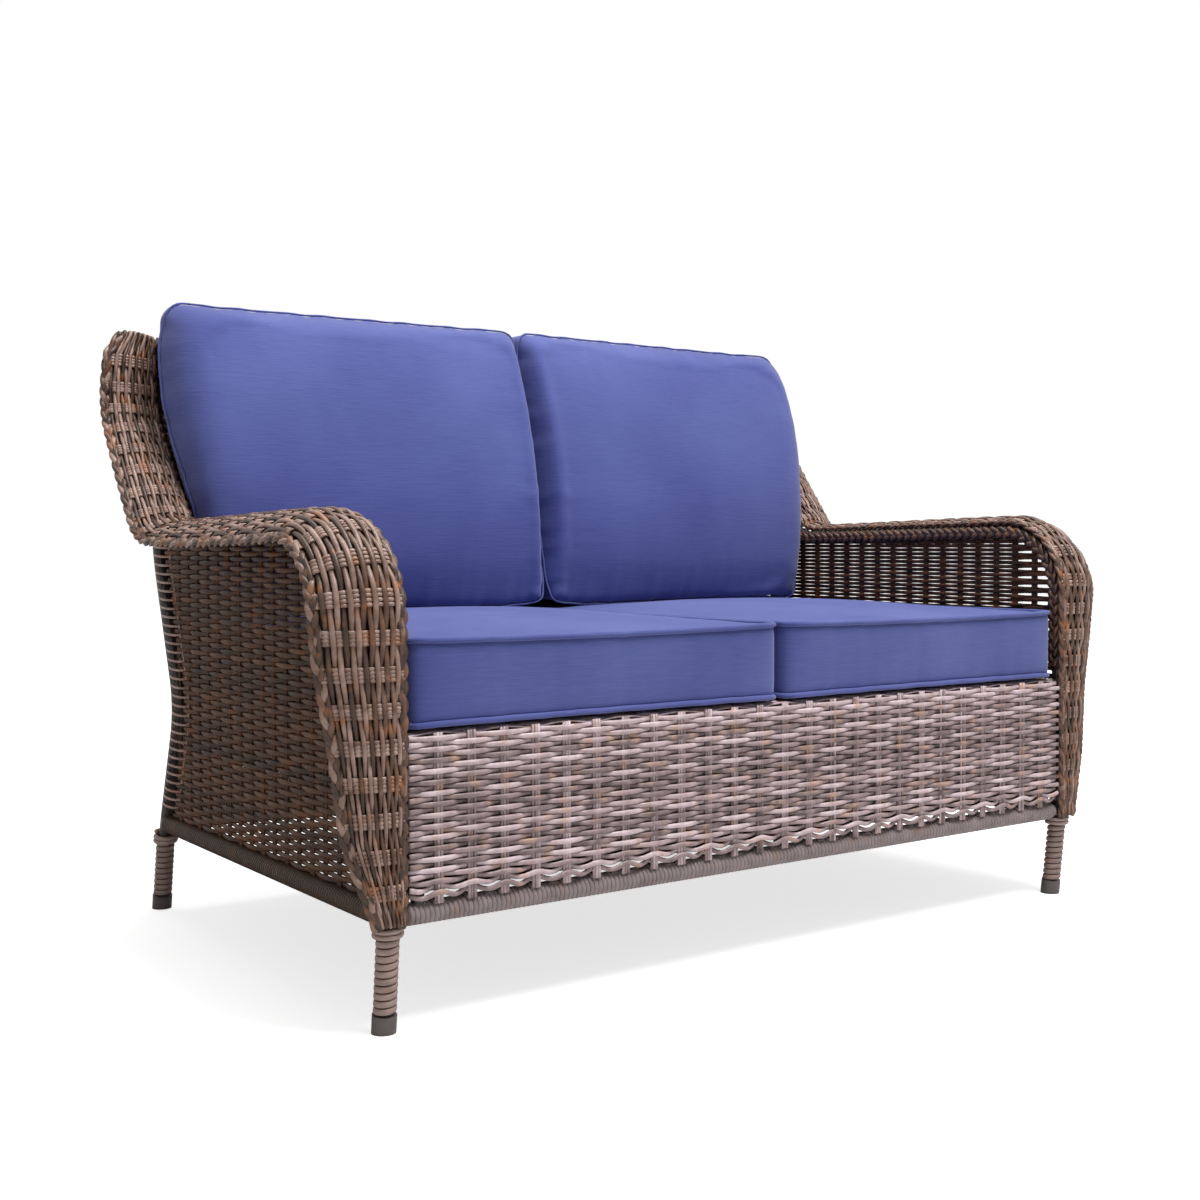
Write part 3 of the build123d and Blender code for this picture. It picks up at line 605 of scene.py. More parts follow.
# Front apron, tied to the lower front rail
APRON_Y, APRON_SPAN = -0.3920, 0.5735
APRON_LOW, APRON_HIGH, APRON_ROWS = 0.1600, 0.3370, 29
APRON_SAG, SAGGING_ROWS = 0.0062, 3
STAKE_INSET = 0.002  # of a stake's ends behind the rail and the deck
apron_stakes = np.linspace(-12, 12, 25) * STAKE_PITCH
apron_pitch = (APRON_HIGH - APRON_LOW) / (APRON_ROWS - 1)


def apron_sag(u, row):
    """The lowest rows hang in shallow loops between the stakes."""
    share = max(0.0, 1 - row / SAGGING_ROWS)
    return -share * APRON_SAG * np.sin(math.pi * u / STAKE_PITCH) ** 2


weave("front_apron", "wicker_apron", lit_wicker, "front_apron_weave",
      plane_surface((0, APRON_Y, 0), (1, 0, 0), (0, 0, 1)),
      APRON_ROWS, apron_pitch, APRON_LOW, (-APRON_SPAN, APRON_SPAN), apron_stakes,
      amp=0.0031, weaver=(WEAVER[0] * 0.83, WEAVER[1]), kind="round", steps=8, plump=0.14,
      stake_span=lambda u: (LOWER_RAIL_Z + RAIL_R - STAKE_INSET, DECK_TOP - STAKE_INSET),
      shift=apron_sag)

# The apron's dark inner layer: painted shade, the darkest strands at the darkest tone, seen between its
# rows instead of the floor
SHADE_LAYER_DEPTH, SHADE_LAYER_PITCH, SHADE_LAYER = 0.0085, 0.0060, (0.0064, 0.0024)
shade_layer = Strands()
for z in np.arange(APRON_LOW + 0.003, APRON_HIGH, SHADE_LAYER_PITCH):
    x = np.linspace(-APRON_SPAN, APRON_SPAN, 9)
    shade_layer.add(xyz(x, APRON_Y + SHADE_LAYER_DEPTH, z), (0, -1, 0), *SHADE_LAYER, tone=0.0)
shade_layer.build("apron_shade_layer", "wicker_apron", deep_shade_wicker)

# Rear apron, from the lower rear rail up to the seat
REAR_SPAN, REAR_ROWS = 0.582, 27
rear_low, rear_high = np.array((0.349, 0.150)), np.array((0.331, 0.338))
rear_way = unit(rear_high - rear_low)
rear_height = float(np.linalg.norm(rear_high - rear_low))
weave("rear_apron", "wicker_side", shaded_wicker, "rear_apron_weave",
      plane_surface((0, *rear_low), (-1, 0, 0), (0, *rear_way)),
      REAR_ROWS, rear_height / (REAR_ROWS - 1), 0.0, (-REAR_SPAN, REAR_SPAN), apron_stakes)

# Back panel, on the leaning frame
BACK_SPAN, BACK_ROWS, WEB_AHEAD = 0.578, 76, 0.0074
BACK_FREE = (0.022, 0.034)  # of the frame's length, under the rows and in all
back_low, back_high = np.array(BACK_FOOT), np.array(BACK_HEAD)
back_way = unit(back_high - back_low)
back_front = np.array((-back_way[1], back_way[0]))
back_length = float(np.linalg.norm(back_high - back_low))
back_row = (back_length - BACK_FREE[1]) / (BACK_ROWS - 1)
weave("back", "wicker_side", shaded_wicker, "back_weave",
      plane_surface((0, *(back_low + back_front * WEB_AHEAD)), (1, 0, 0), (0, *back_way)),
      BACK_ROWS, back_row, BACK_FREE[0], (-BACK_SPAN, BACK_SPAN), apron_stakes)

# Seat deck
DECK_FRONT_Y, DECK_WEB_DROP, DECK_ROWS, DECK_PITCH = -0.384, 0.0042, 92, 0.0075
weave("seat_deck", "wicker_deck", lit_wicker, "seat_deck_weave",
      plane_surface((0, DECK_FRONT_Y, DECK_TOP - DECK_WEB_DROP), (1, 0, 0), (0, 1, 0)),
      DECK_ROWS, DECK_PITCH, 0.0, (-REAR_SPAN, REAR_SPAN), apron_stakes,
      amp=0.0016, weaver=(0.0068, 0.0030))

# Side panels
SIDE_PITCH, SIDE_STAKES, FIRST_SIDE_STAKE = 0.0385, 17, 0.048
SIDE_ROW, SIDE_ROWS, SIDE_LOW = 0.0068, 64, 0.017
SIDE_LACE = 0.032  # the open strip in front of the rear post, crossed by laces only
SIDE_WEAVERS = {"left": (0.0061, 0.0036), "right": (0.0056, 0.0036)}
LADDER_END, LADDER_FADE, LADDER_SHIFT = 0.095, 0.055, 0.30
POST_HEIGHTS, ARM_HEIGHTS = (0.12, 0.62), (0.30, 0.66)  # of the tubes' parts that stakes end at
STAKE_SHORT = 0.003  # of the arm tube's middle


def side_row_ends(height):
    """The ends of a side panel's row: the arm tube in front, the rear post behind."""
    arm = arm_line.crossings(height)
    rear = post_line.crossings(height)[0] - SIDE_LACE
    if len(arm) > 1:
        rear = min(rear, max(arm))
    return min(arm), rear


def side_stake_span(y):
    """The ends of a side panel's stake: the lower rail or the rear post, and the arm tube."""
    post, arm = post_line.between(*POST_HEIGHTS), arm_line.between(*ARM_HEIGHTS)
    low = post[post[:, 0] < y, 1].max(initial=LOWER_RAIL_Z)
    return low, float(np.interp(y, arm[:, 0], arm[:, 1])) - STAKE_SHORT


def ladder(y, row):
    """Near the front leg, rows run in close pairs."""
    share = np.clip((FRONT_LEG_Y + LADDER_END - y) / LADDER_FADE, 0, 1)
    return (1 if row % 2 == 0 else -1) * share * SIDE_ROW * LADDER_SHIFT


def side_panel(side, sign):
    """A side panel, woven along u, which is y turned by the side's sign."""
    stakes = FRONT_LEG_Y + FIRST_SIDE_STAKE + np.arange(SIDE_STAKES) * SIDE_PITCH
    weave(f"{side}_side", "wicker_side", shaded_wicker, f"{side}_side_weave",
          plane_surface((sign * LEG_X, 0, 0), (0, -sign, 0), (0, 0, 1)),
          SIDE_ROWS, SIDE_ROW, LOWER_RAIL_Z + SIDE_LOW, None, np.sort(-sign * stakes),
          amp=0.0024, weaver=SIDE_WEAVERS[side], kind="round", steps=8,
          stake_span=lambda u: side_stake_span(-sign * u),
          shift=lambda u, row: ladder(-sign * u, row),
          trim=lambda v: sorted(-sign * y for y in side_row_ends(v)))


for side, sign in SIDE_NAMES:
    side_panel(side, sign)


# ---------------------------------------------------------------- arm bands

COLUMNS = 15
LONG_STRAND = (0.0034, 0.0070, 0.0042)  # least width, greatest width, thickness
LONG_ENDS, SLAT_STEPS = (0.002, 0.998), 8  # shares of the band's length, and points per slat
LONG_WAVE, LONG_SHARE, LONG_PLUMP, LONG_SWAY = 0.0026, 0.90, 0.10, 0.0007
TURN_RADIUS, TURN_STAGGER = 0.0062, 0.0012
# The dark layer under a band's strands is painted shade in their gaps
SHADE_BACKING_DEPTH, SHADE_BACKING_SHARE, SHADE_BACKING_THICK = 0.0062, 1.04, 0.0020
SLAT_PITCH, SLAT_GAP, SLAT = 0.041, 0.0044, (0.0043, 0.0022)
SLAT_WAVE, SLAT_LIFT = 0.0016, 0.0004
ROPE_REACH, ROPE_STRAND, ROPE_WAVE, ROPE_STEP = 0.0040, (0.0072, 0.0050), 0.060, 0.0045
ROPE_CLEAR = 0.0024  # that the inner rope keeps from the seat cushion
TUBE_BRAID_REACH, TUBE_BRAID_STRAND, TUBE_BRAID_WAVE = 0.0062, (0.0078, 0.0036), 0.050
TUBE_BRAID_OFF, TUBE_BRAID_DROP = 0.0022, 0.001  # from the tube's side and its middle
TUBE_BRAID_START, TUBE_BRAID_END, TUBE_BRAID_STEP = 0.36, 0.02, 0.0035
BRAID_RISE = 0.55  # of a braid's strands, by their reach


def turned_over(path, normal, radius):
    """A strand's path and outward normals, carried on round the band's end and back behind it."""
    turn = np.linspace(0.12, 0.92, 9)[:, None] * math.pi
    out, way = normal[-1], unit(path[-1] - path[-3])
    around = out * np.cos(turn) + way * np.sin(turn)
    arc = path[-1] - out * radius + around * radius
    return np.concatenate([path, arc]), np.concatenate([normal, around])


def braid(strands, centre, lateral, normal, reach, strand, length, wave):
    """Three strands plaited along a line."""
    for k in range(3):
        turn = math.tau * length / wave + math.tau * k / 3
        path = (
            centre
            + lateral * (np.sin(turn) * reach)[:, None]
            + normal * (np.sin(2 * turn) * reach * BRAID_RISE)[:, None]
        )
        strands.add(path, normal, *strand)


def band_strands(sign, slat_count):
    """The strands that run along an arm band, and the dark layer under them: painted shade, seen in the
    gaps between the strands.
    """
    strands, shade_backing = Strands(), Strands()
    least, greatest, thickness = LONG_STRAND
    share = np.linspace(*LONG_ENDS, slat_count * SLAT_STEPS + 1)
    knots = np.linspace(0, 1, slat_count + 1)
    for column in range(COLUMNS):
        point, normal, width = band_frame(sign, share, (column + 0.5) / COLUMNS)
        wave = over_under(math.pi * (share * slat_count + column))
        path = point + normal * (wave * LONG_WAVE)[:, None]
        plump = 1.0 + LONG_PLUMP * np.clip(-wave, 0, 1)
        sway = np.interp(share, knots, rng.normal(0, LONG_SWAY, len(knots)))
        beside = np.cross(unit(np.gradient(path, axis=0)), normal) * sway[:, None]
        size = np.clip(width / COLUMNS * LONG_SHARE, least, greatest) * plump
        radius = TURN_RADIUS + TURN_STAGGER * (column % 2)
        path, facing = turned_over(path + beside, normal, radius)
        size = np.append(size, np.full(len(path) - len(size), size[-1]))
        strands.add(path, facing, size, thickness, "round")
        if column:
            point, normal, width = band_frame(sign, share, column / COLUMNS)
            shade_backing.add(point - normal * SHADE_BACKING_DEPTH, normal, width / COLUMNS * SHADE_BACKING_SHARE,
                        SHADE_BACKING_THICK, tone=0.0)
    return strands, shade_backing


def band_slats(sign, slat_count):
    """The groups of four thin strands that cross an arm band."""
    slats = Strands()
    across = np.linspace(0.0, 1.0, COLUMNS * 4 + 1)
    for index in range(1, slat_count):
        wave = over_under(math.pi * (across * COLUMNS - 0.5 + index))
        for k in (-1.5, -0.5, 0.5, 1.5):
            place = index / slat_count + k * SLAT_GAP / BAND_LENGTH
            point, normal, _ = band_frame(sign, place, across)
            path = point - normal * (wave * SLAT_WAVE - SLAT_LIFT)[:, None]
            slats.add(path, normal, *SLAT, tone=rng.uniform(0.75, 1.1))
    return slats


def band_ropes(sign):
    """The braids along an arm band's two edges, and the one on the arm tube's inner side."""
    ropes = Strands()
    share = np.linspace(0.0, 1.0, int(BAND_LENGTH / ROPE_STEP))
    for across, clear in ((0.0, ROPE_CLEAR), (1.0, 0.0)):
        point, normal, _ = band_frame(sign, share, across)
        beside = unit(np.cross(unit(np.gradient(point, axis=0)), normal))
        point = point + np.array((sign * clear, 0, 0))
        braid(ropes, point, beside, normal, ROPE_REACH, ROPE_STRAND, share * BAND_LENGTH, ROPE_WAVE)
    length = np.arange(TUBE_BRAID_START, arm_line.length - TUBE_BRAID_END, TUBE_BRAID_STEP)
    place, way = arm_line.at(length)
    tube = xyz(sign * (LEG_X - TUBE_R - TUBE_BRAID_OFF), *place.T)
    down = xyz(0, way[:, 1], -way[:, 0])
    inward = np.broadcast_to((-sign, 0.0, 0.0), tube.shape)
    braid(ropes, tube + down * TUBE_BRAID_DROP, down, inward, TUBE_BRAID_REACH, TUBE_BRAID_STRAND,
          length, TUBE_BRAID_WAVE)
    return ropes


for side, sign in SIDE_NAMES:
    slat_count = round(BAND_LENGTH / SLAT_PITCH)
    strands, shade_backing = band_strands(sign, slat_count)
    slats = band_slats(sign, slat_count)
    ropes = band_ropes(sign)
    strands.build(f"{side}_band_strands", "wicker_band", band_wicker, f"{side}_arm_band")
    slats.build(f"{side}_band_slats", "wicker_band", band_wicker)
    shade_backing.build(f"{side}_band_shade_backing", "wicker_band", deep_shade_wicker)
    ropes.build(f"{side}_band_ropes", "wicker_band", band_wicker)


# ---------------------------------------------------------------- wrapped tubes

# Windings: how far out from the tube, pitch, width and thickness
LEG_WRAP = (TUBE_R + 0.0022, 0.0088, 0.0082, 0.0046)
COLLAR_WRAP = (TUBE_R + 0.0058, 0.0062, 0.0062, 0.0068)
TUBE_WRAP = (TUBE_R + 0.001, 0.0125, 0.0042, 0.0026)
RAIL_WRAP = (RAIL_R - 0.0002, 0.0064, 0.0066, 0.0024)
LEG_WRAP_LOW, ARM_LEG_TOP, POST_LEG_TOP = 0.018, 0.110, 0.104
COLLAR_BELOW, COLLAR_ABOVE = 0.002, 0.013  # of a leg's winding's top
TUBE_WRAP_START, TUBE_WRAP_STEP = 0.124, 0.0009
RAIL_WRAP_END, SIDE_RAIL_INSET = 0.572, 0.012


def wind(strands, centre, radial, length, wrap, kind="flat"):
    """A strand wound round a line: radial is a fixed direction square to it."""
    radius, pitch, width, height = wrap
    way = unit(np.gradient(centre, axis=0))
    radial = np.broadcast_to(np.asarray(radial, float), centre.shape)
    beside = np.cross(way, radial)
    turn = math.tau * length / pitch
    out = radial * np.cos(turn)[:, None] + beside * np.sin(turn)[:, None]
    strands.add(centre + out * radius, out, width, height, kind)


def side_path(line, sign, start, end, step):
    """Points of a bent tube between two distances along it."""
    length = np.arange(start, end, step)
    place, _ = line.at(length)
    return xyz(sign * LEG_X, *place.T), length - start


wraps, tube_wraps = Strands(), Strands()
for sign in (-1, 1):
    for line, top in ((arm_line, ARM_LEG_TOP), (post_line, POST_LEG_TOP)):
        centre, length = side_path(line, sign, LEG_WRAP_LOW, top, LEG_WRAP[1] / 20)
        wind(wraps, centre, (1, 0, 0), length, LEG_WRAP)
        centre, length = side_path(
            line, sign, top - COLLAR_BELOW, top + COLLAR_ABOVE, COLLAR_WRAP[1] / 20
        )
        wind(wraps, centre, (1, 0, 0), length, COLLAR_WRAP)
    centre, length = side_path(arm_line, sign, TUBE_WRAP_START, arm_line.length, TUBE_WRAP_STEP)
    wind(tube_wraps, centre, (1, 0, 0), length, TUBE_WRAP, "six")
wraps.build("leg_wraps", "wicker_wrap", wrap_wicker, "front_leg_windings")
tube_wraps.build("tube_lacing", "wicker_wrap", deep_shade_wicker)

# Rows of the back run on round the frame's square side tubes
SIDE_TUBE_X, SQUARE_HALF, SQUARE_POWER = 0.5732, 0.0112, 6
ENDS_BELOW, ENDS_ABOVE, END_STRAND = 0.012, 0.008, (back_row * 0.96, 0.0030)
ends = Strands()
length = np.arange(ENDS_BELOW, back_length - ENDS_ABOVE, back_row / 20)
turn = math.tau * length / back_row
ring = np.stack([np.cos(turn), np.sin(turn)], 1)
ring = ring / (np.abs(ring) ** SQUARE_POWER).sum(1, keepdims=True) ** (1 / SQUARE_POWER)
for sign in (-1, 1):
    place = back_low + length[:, None] * back_way
    tube = xyz(sign * SIDE_TUBE_X, *place.T)
    out = ring[:, :1] * np.array((sign, 0, 0)) + ring[:, 1:] * np.array((0, *back_front))
    ends.add(tube + out * SQUARE_HALF, out, *END_STRAND, "flat")
ends.build("back_row_ends", "wicker_side", shaded_wicker)

# Laces from the side panels' edge round the rear posts, and the three strands of that edge
LACE, LACE_OFF, LACE_SLANT = (0.0034, 0.0024), 0.0016, 0.004
LACE_RUN = (0.165, 0.585, 0.0007)  # start, end and step along the post
EDGE_STRAND, EDGE_STEP = (0.0036, 0.0026), 0.0004
laces = Strands()
for sign in (-1, 1):
    length = np.arange(*LACE_RUN)
    place, _ = post_line.at(length)
    turn = math.tau * length / (2 * SIDE_ROW)
    path = xyz(
        sign * LEG_X + sign * np.sin(turn) * (TUBE_R + LACE_OFF),
        place[:, 0] - SIDE_LACE / 2 + np.cos(turn) * (TUBE_R + SIDE_LACE / 2 + LACE_OFF),
        place[:, 1] + LACE_SLANT * np.cos(turn),
    )
    out = xyz(sign * np.sin(turn), np.cos(turn) * 0.6, 0)
    laces.add(path, unit(out), *LACE, tone=1.0)
    place, _ = post_line.at(length[::8])
    for k in (-1, 0, 1):
        edge_y = place[:, 0] - SIDE_LACE - TUBE_R + k * EDGE_STRAND[0]
        laces.add(xyz(sign * LEG_X + k * EDGE_STEP, edge_y, place[:, 1]), (sign, 0, 0), *EDGE_STRAND)
laces.build("post_laces", "wicker_side", band_wicker)

# Lower rails; the side rails take the darkest wicker as painted shade
rails, shaded_side_rails = Strands(), Strands()
rail_step = RAIL_WRAP[1] / 16
for y in (FRONT_LEG_Y, REAR_ANKLE_Y):
    x = np.arange(-RAIL_WRAP_END, RAIL_WRAP_END, rail_step)
    wind(rails, xyz(x, y, LOWER_RAIL_Z), (0, 0, 1), x, RAIL_WRAP)
for sign in (-1, 1):
    y = np.arange(FRONT_LEG_Y + SIDE_RAIL_INSET, REAR_ANKLE_Y - SIDE_RAIL_INSET, rail_step)
    wind(shaded_side_rails, xyz(sign * LEG_X, y, LOWER_RAIL_Z), (0, 0, 1), y, RAIL_WRAP)
shaded_side_rails.build("shaded_side_rail_wraps", "wicker_wrap", deep_shade_wicker)
rails.build("rail_wraps", "wicker_wrap", rail_wicker)

# Ties that hold the apron to the lower front rail
TIE, TIE_GAP, TIE_ENDS = (0.0036, 0.0022), 0.0038, (0.16, 0.72)  # ends in half turns
tie_turn = np.linspace(*TIE_ENDS, 11) * math.pi
tie_reach = RAIL_R + 0.0026
ties = Strands()
for x in apron_stakes:
    for k in (-1, 0, 1):
        path = xyz(
            x + k * TIE_GAP,
            FRONT_LEG_Y + np.cos(tie_turn) * tie_reach,
            LOWER_RAIL_Z + np.sin(tie_turn) * tie_reach,
        )
        ties.add(path, xyz(0, np.cos(tie_turn), np.sin(tie_turn)), *TIE)
ties.build("apron_ties", "wicker_wrap", rail_wicker)


# ---------------------------------------------------------------- cushions


def box_grid(nu, nv, nw):
    """A closed grid: a, b over two faces, c through the sides, with the two seam loops."""
    a, b = np.linspace(-1, 1, nu + 1), np.linspace(-1, 1, nv + 1)
    size = (nu + 1) * (nv + 1)
    grid = np.arange(size).reshape(nu + 1, nv + 1)
    aa, bb = np.meshgrid(a, b, indexing="ij")
    face = np.stack([aa.ravel(), bb.ravel()], 1)
    border = np.concatenate([grid[:-1, 0], grid[-1, :-1], grid[:0:-1, -1], grid[0, :0:-1]])
    points = [np.column_stack([face, np.full(size, c)]) for c in (-1.0, 1.0)]
    rings, count = [border], 2 * size
    for k in range(1, nw):
        points.append(np.column_stack([face[border], np.full(len(border), -1 + 2 * k / nw)]))
        rings.append(np.arange(count, count + len(border)))
        count += len(border)
    rings.append(border + size)
    quad = np.stack([grid[:-1, :-1], grid[1:, :-1], grid[1:, 1:], grid[:-1, 1:]], -1).reshape(-1, 4)
    quads = [quad[:, ::-1], quad + size]
    for low, high in zip(rings, rings[1:]):
        quads.append(np.stack([low, np.roll(low, -1), np.roll(high, -1), high], -1))
    return np.concatenate(points), np.concatenate(quads), border, border + size


def rounded(points, power):
    """Squares off to a rounded outline: the grid's rings become superellipses."""
    a, b = np.abs(points[:, 0]), np.abs(points[:, 1])
    ring = np.maximum(a, b)
    reach = np.where(ring > 1e-6, (a**power + b**power) ** (1 / power), 1)
    scale = np.where(ring > 1e-6, ring / np.maximum(reach, 1e-6), 1)
    out = points.copy()
    out[:, :2] *= scale[:, None]
    return out


CLOTH = {"tension_stiffness": 18, "compression_stiffness": 18, "shear_stiffness": 10,
         "bending_stiffness": 1.2, "quality": 6}
CLOTH_FRAMES = 20


def inflate(points, quads, pinned, pressure, cap):
    """A short cloth simulation under air pressure; no point moves further than the cap."""
    mesh = bpy.data.meshes.new("inflating")
    mesh.from_pydata(points.tolist(), [], quads.tolist())
    body = bpy.data.objects.new("inflating", mesh)
    bpy.context.scene.collection.objects.link(body)
    group = body.vertex_groups.new(name="pinned")
    group.add(np.nonzero(pinned)[0].tolist(), 1.0, "REPLACE")
    modifier = body.modifiers.new("cloth", "CLOTH")
    for name, value in CLOTH.items():
        setattr(modifier.settings, name, value)
    modifier.settings.use_pressure = True
    modifier.settings.uniform_pressure_force = pressure
    modifier.settings.effector_weights.gravity = 0
    modifier.settings.vertex_group_mass = "pinned"
    modifier.point_cache.frame_start, modifier.point_cache.frame_end = 1, CLOTH_FRAMES + 2
    for step in range(1, CLOTH_FRAMES + 1):
        bpy.context.scene.frame_set(step)
    held = body.evaluated_get(bpy.context.evaluated_depsgraph_get())
    moved = np.empty(len(points) * 3)
    held.data.vertices.foreach_get("co", moved)
    moved = moved.reshape(-1, 3) - points
    bpy.context.scene.frame_set(1)
    bpy.data.objects.remove(body)
    far = np.linalg.norm(moved, axis=1, keepdims=True)
    return points + moved * np.minimum(1, cap / np.maximum(far, 1e-9))


def seam_distance(points, loop):
    """Each point's distance to a seam loop, and how far round the loop its nearest point is."""
    tree = KDTree(len(loop))
    for index, place in enumerate(points[loop]):
        tree.insert(place, index)
    tree.balance()
    found = [tree.find(p) for p in points]
    return np.array([f[2] for f in found]), np.array([f[1] for f in found])


VALLEY_WIDTH = 0.009
FOLDS = ((31, 0.4), (47, 2.1), (73, 4.0))  # folds round a seam, and where they start


def pucker(points, quads, loops, depth, reach, fold):
    """Draws the cloth in along its seams, with small folds that run away from them."""
    normals = point_normals(points, quads)
    for loop in loops:
        away, near = seam_distance(points, loop)
        valley = np.exp(-((away / VALLEY_WIDTH) ** 2)) * depth
        rounds = near / len(loop) * math.tau
        folds = sum(np.sin(rounds * k + shift) for k, shift in FOLDS) / len(FOLDS)
        folds *= np.exp(-away / reach) * fold
        points = points - normals * (valley + folds)[:, None]
    return points


def point_normals(points, quads):
    """Outward normals at the points of a closed mesh."""
    a, b, c, d = (points[quads[:, i]] for i in range(4))
    face = np.cross(c - a, d - b)
    normals = np.zeros_like(points)
    for i in range(4):
        np.add.at(normals, quads[:, i], face)
    return unit(normals)


def make_cushion(name, points, quads, loops, cord_radius, raised):
    """A cushion and its piping, whose cords stand out of their seams by a share of their radius."""
    normals = point_normals(points, quads)
    cushion = mesh_piece(name + "_cover", points, quads, name, cloth)
    smooth = cushion.modifiers.new("smooth", "SUBSURF")
    smooth.levels = smooth.render_levels = 1
    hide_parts(name)
    cords = Strands()
    for loop in loops:
        path = points[loop] + normals[loop] * cord_radius * raised
        for _ in range(2):
            path = (np.roll(path, 1, 0) + path * 2 + np.roll(path, -1, 0)) / 4
        cords.add(path, normals[loop], cord_radius * 2, cord_radius * 2, "round", closed=True)
    cords.build(name + "_piping", "cushion_fabric", cloth, body=name)


# Seat cushions
SEAT_W, SEAT_D, SEAT_LOW, SEAT_TALL = 0.5705, 0.693, DECK_TOP + 0.0006, 0.115
SEAT_SEAMS = (0.0065, 0.1035)  # heights of the two seams over the cushion's underside
SEAT_FRONT_Y, SEAT_GAP = -0.3940, 0.0015
SEAT_DRAW, SEAT_INSET, SEAT_CROWN, SEAT_SAG = 0.005, 0.0015, 0.006, 0.003
SEAT_ABOVE, SEAT_BESIDE = 0.006, 0.001  # that the cover may stand past its stated size
CROWN_POWER, CROWN_SPREAD, UNDERSIDE_ROLL = 2.6, 0.62, 0.08
grid, quads, low_seam, high_seam = box_grid(56, 68, 10)
a, b, c = rounded(grid, 26).T
is_top, is_bottom = c > 0.99, c < -0.99
crown = np.clip((1 - np.abs(a) ** CROWN_POWER) * (1 - np.abs(b) ** CROWN_POWER), 0, 1) ** CROWN_SPREAD
roll = np.clip(1 - np.maximum(np.abs(a), np.abs(b)), 0, UNDERSIDE_ROLL) / UNDERSIDE_ROLL
seat = xyz(
    a * (SEAT_W / 2 - SEAT_DRAW * (1 - b**2) - SEAT_INSET),
    b * (SEAT_D / 2 - SEAT_DRAW * (1 - a**2) - SEAT_INSET),
    SEAT_LOW + SEAT_SEAMS[0] + (c + 1) / 2 * (SEAT_SEAMS[1] - SEAT_SEAMS[0])
    + np.where(is_top, crown * SEAT_CROWN, 0) - np.where(is_bottom, roll * (SEAT_SEAMS[0] - 0.0005), 0)
    - SEAT_SAG * (1 - a**2) * np.where(is_top, 1, 0),
)
seat_pins = is_bottom.copy()
seat_pins[high_seam] = True
seat = inflate(seat, quads, seat_pins, pressure=3.2, cap=0.012)
seat[:, 2] = np.clip(seat[:, 2], SEAT_LOW, None)
seat = pucker(seat, quads, (low_seam, high_seam), depth=0.0014, reach=0.030, fold=0.0009)
seat[:, 2] = np.clip(seat[:, 2], SEAT_LOW, SEAT_LOW + SEAT_TALL + SEAT_ABOVE)
seat[:, 0] = np.clip(seat[:, 0], -SEAT_W / 2 - SEAT_BESIDE, SEAT_W / 2 + SEAT_BESIDE)
for side, sign in SIDE_NAMES:
    placed = seat * (sign, 1, 1) + (sign * (SEAT_GAP + SEAT_W / 2), SEAT_FRONT_Y + SEAT_D / 2, 0)
    faces = quads if sign > 0 else quads[:, ::-1]
    make_cushion(f"seat_cushion_{side}", placed, faces, (low_seam, high_seam),
                 cord_radius=0.0036, raised=0.35)

# Back cushions are knife-edged: two panels sewn together in one seam, nearer the front where
# the two cushions press together. Each table is read by height.
BACK_LOW, BACK_TOP = 0.4575, 0.9240
HEIGHTS = (0.459, 0.520, 0.600, 0.660, 0.740, 0.820, 0.900, 0.925)
FULL_DEPTH = (0.142, 0.158, 0.171, 0.173, 0.168, 0.155, 0.130, 0.117)
OUTER_SEAM = (0.104, 0.112, 0.118, 0.106, 0.084, 0.074, 0.066, 0.060)
INNER_SEAM = (0.130, 0.128, 0.123, 0.117, 0.110, 0.099, 0.086, 0.080)
OUTER_X = (0.579, 0.582, 0.589, 0.600, 0.614, 0.617, 0.606, 0.593)
REAR_X = (0.010, 0.556)  # inner and outer edge of the rear panel
EASE = np.linspace(-0.04, 0.04, 9)
EDGE_REACH = {"outer": 0.072, "inner": 0.026, "head": 0.045, "foot": 0.085}
TUBE_FACE, CLOTH_GAP, REAR_LIMIT = 0.0101, 0.0008, 0.0103  # ahead of the back frame's line
REAR_TUCK = 0.008  # that the rear panel is shorter at its head and foot
LEAST_X = 0.0004  # that a cushion keeps from the middle
grid, quads, _, seam = box_grid(60, 50, 8)
a, b, c = rounded(grid, 21).T
lean = (BACK_HEAD[0] - BACK_FOOT[0]) / (BACK_HEAD[1] - BACK_FOOT[1])
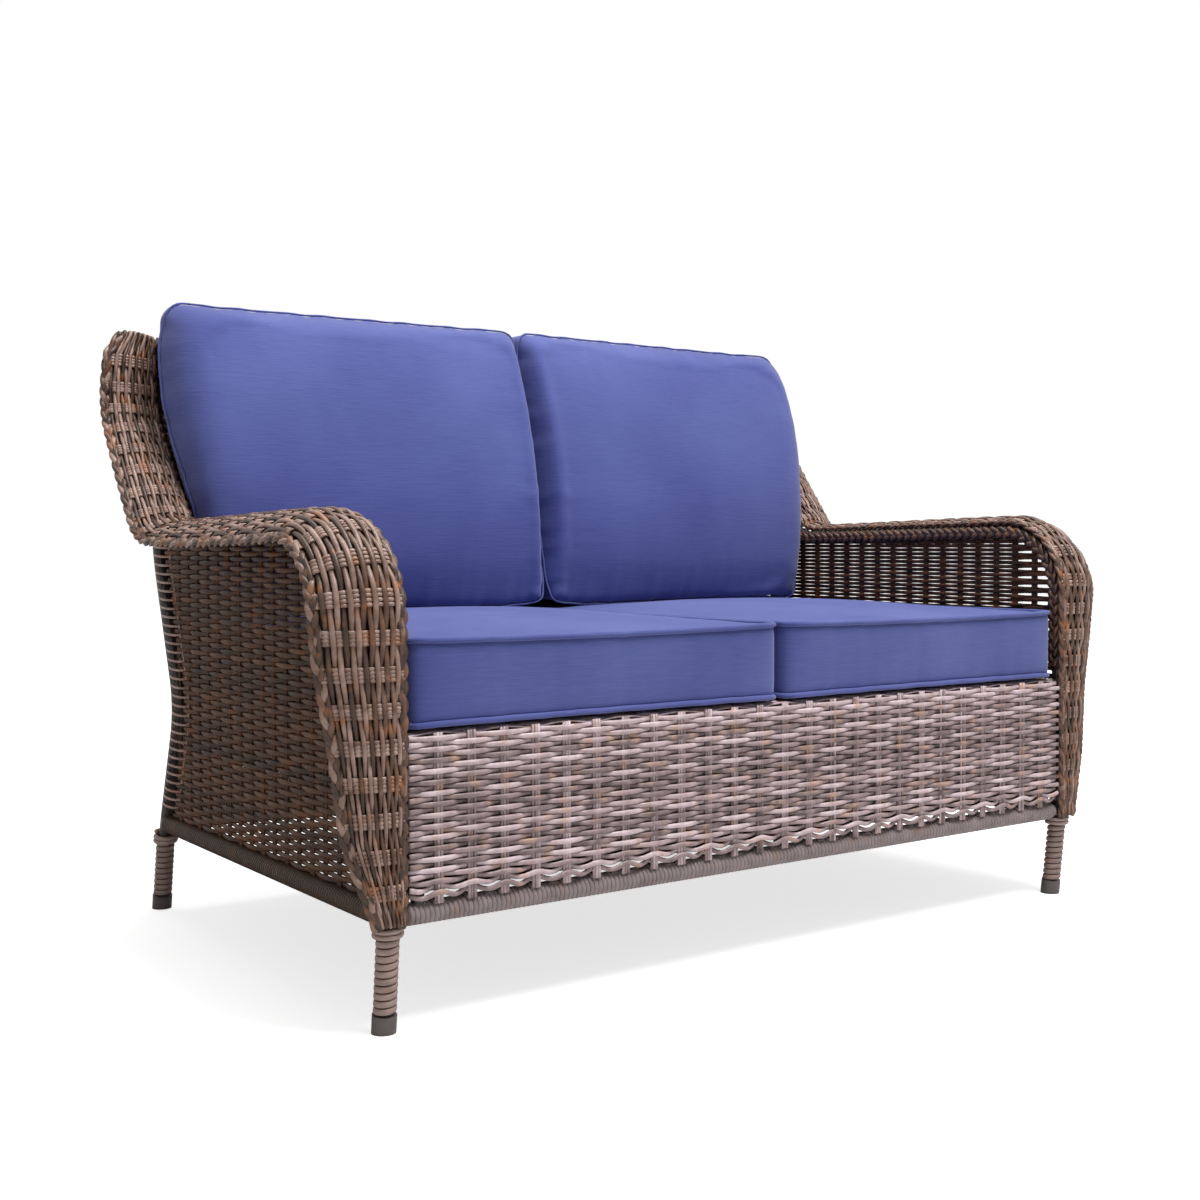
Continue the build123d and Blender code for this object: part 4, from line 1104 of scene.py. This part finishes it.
tall = BACK_TOP - BACK_LOW
height = BACK_LOW + (b + 1) / 2 * tall


def by_height(values):
    """A table's values at the grid's heights, with its corners eased."""
    return np.mean([np.interp(height + near, HEIGHTS, values) for near in EASE], 0)


def swell(inset, edge):
    """How far a panel has risen from its seam, 0 to 1, at a distance in from an edge."""
    share = np.clip(inset / EDGE_REACH[edge], 0, 1)
    return np.sqrt(1 - (1 - share) ** 2)


rear_y = BACK_FOOT[0] + (height - BACK_FOOT[1]) * lean - TUBE_FACE - CLOTH_GAP
outer_x = by_height(OUTER_X)
seam_depth = by_height(INNER_SEAM) * (1 - a) / 2 + by_height(OUTER_SEAM) * (1 + a) / 2
through = (c + 1) / 2
soft = (
    swell((1 + a) / 2 * outer_x, "inner") * swell((1 - a) / 2 * outer_x, "outer")
    * swell((1 - b) / 2 * tall, "head") * swell((1 + b) / 2 * tall, "foot")
)
full = by_height(FULL_DEPTH)
depth = np.where(c > 0.99, seam_depth + (full - seam_depth) * soft, through * seam_depth)
edge_way = np.sin(through * math.pi / 2)
inner_x = REAR_X[0] * (1 - edge_way)
side_x = REAR_X[1] + (outer_x - REAR_X[1]) * edge_way
back = xyz(
    inner_x + (side_x - inner_x) * (a + 1) / 2,
    rear_y - depth,
    height - b * (1 - edge_way) * REAR_TUCK,
)
back_faces = quads[:, ::-1]
back = inflate(back, back_faces, c < -0.99, pressure=1.2, cap=0.005)
back = pucker(back, back_faces, (seam,), depth=0.0009, reach=0.042, fold=0.0022)
back[:, 0] = np.maximum(back[:, 0], LEAST_X)
limit = BACK_FOOT[0] + (back[:, 2] - BACK_FOOT[1]) * lean - REAR_LIMIT
back[:, 1] = np.minimum(back[:, 1], limit)
for side, sign in SIDE_NAMES:
    faces = back_faces if sign > 0 else back_faces[:, ::-1]
    make_cushion(f"back_cushion_{side}", back * (sign, 1, 1), faces, (seam,),
                 cord_radius=0.0016, raised=-0.45)


# ---------------------------------------------------------------- close

bpy.context.scene.view_settings.view_transform = "Standard"
bpy.context.view_layer.update()
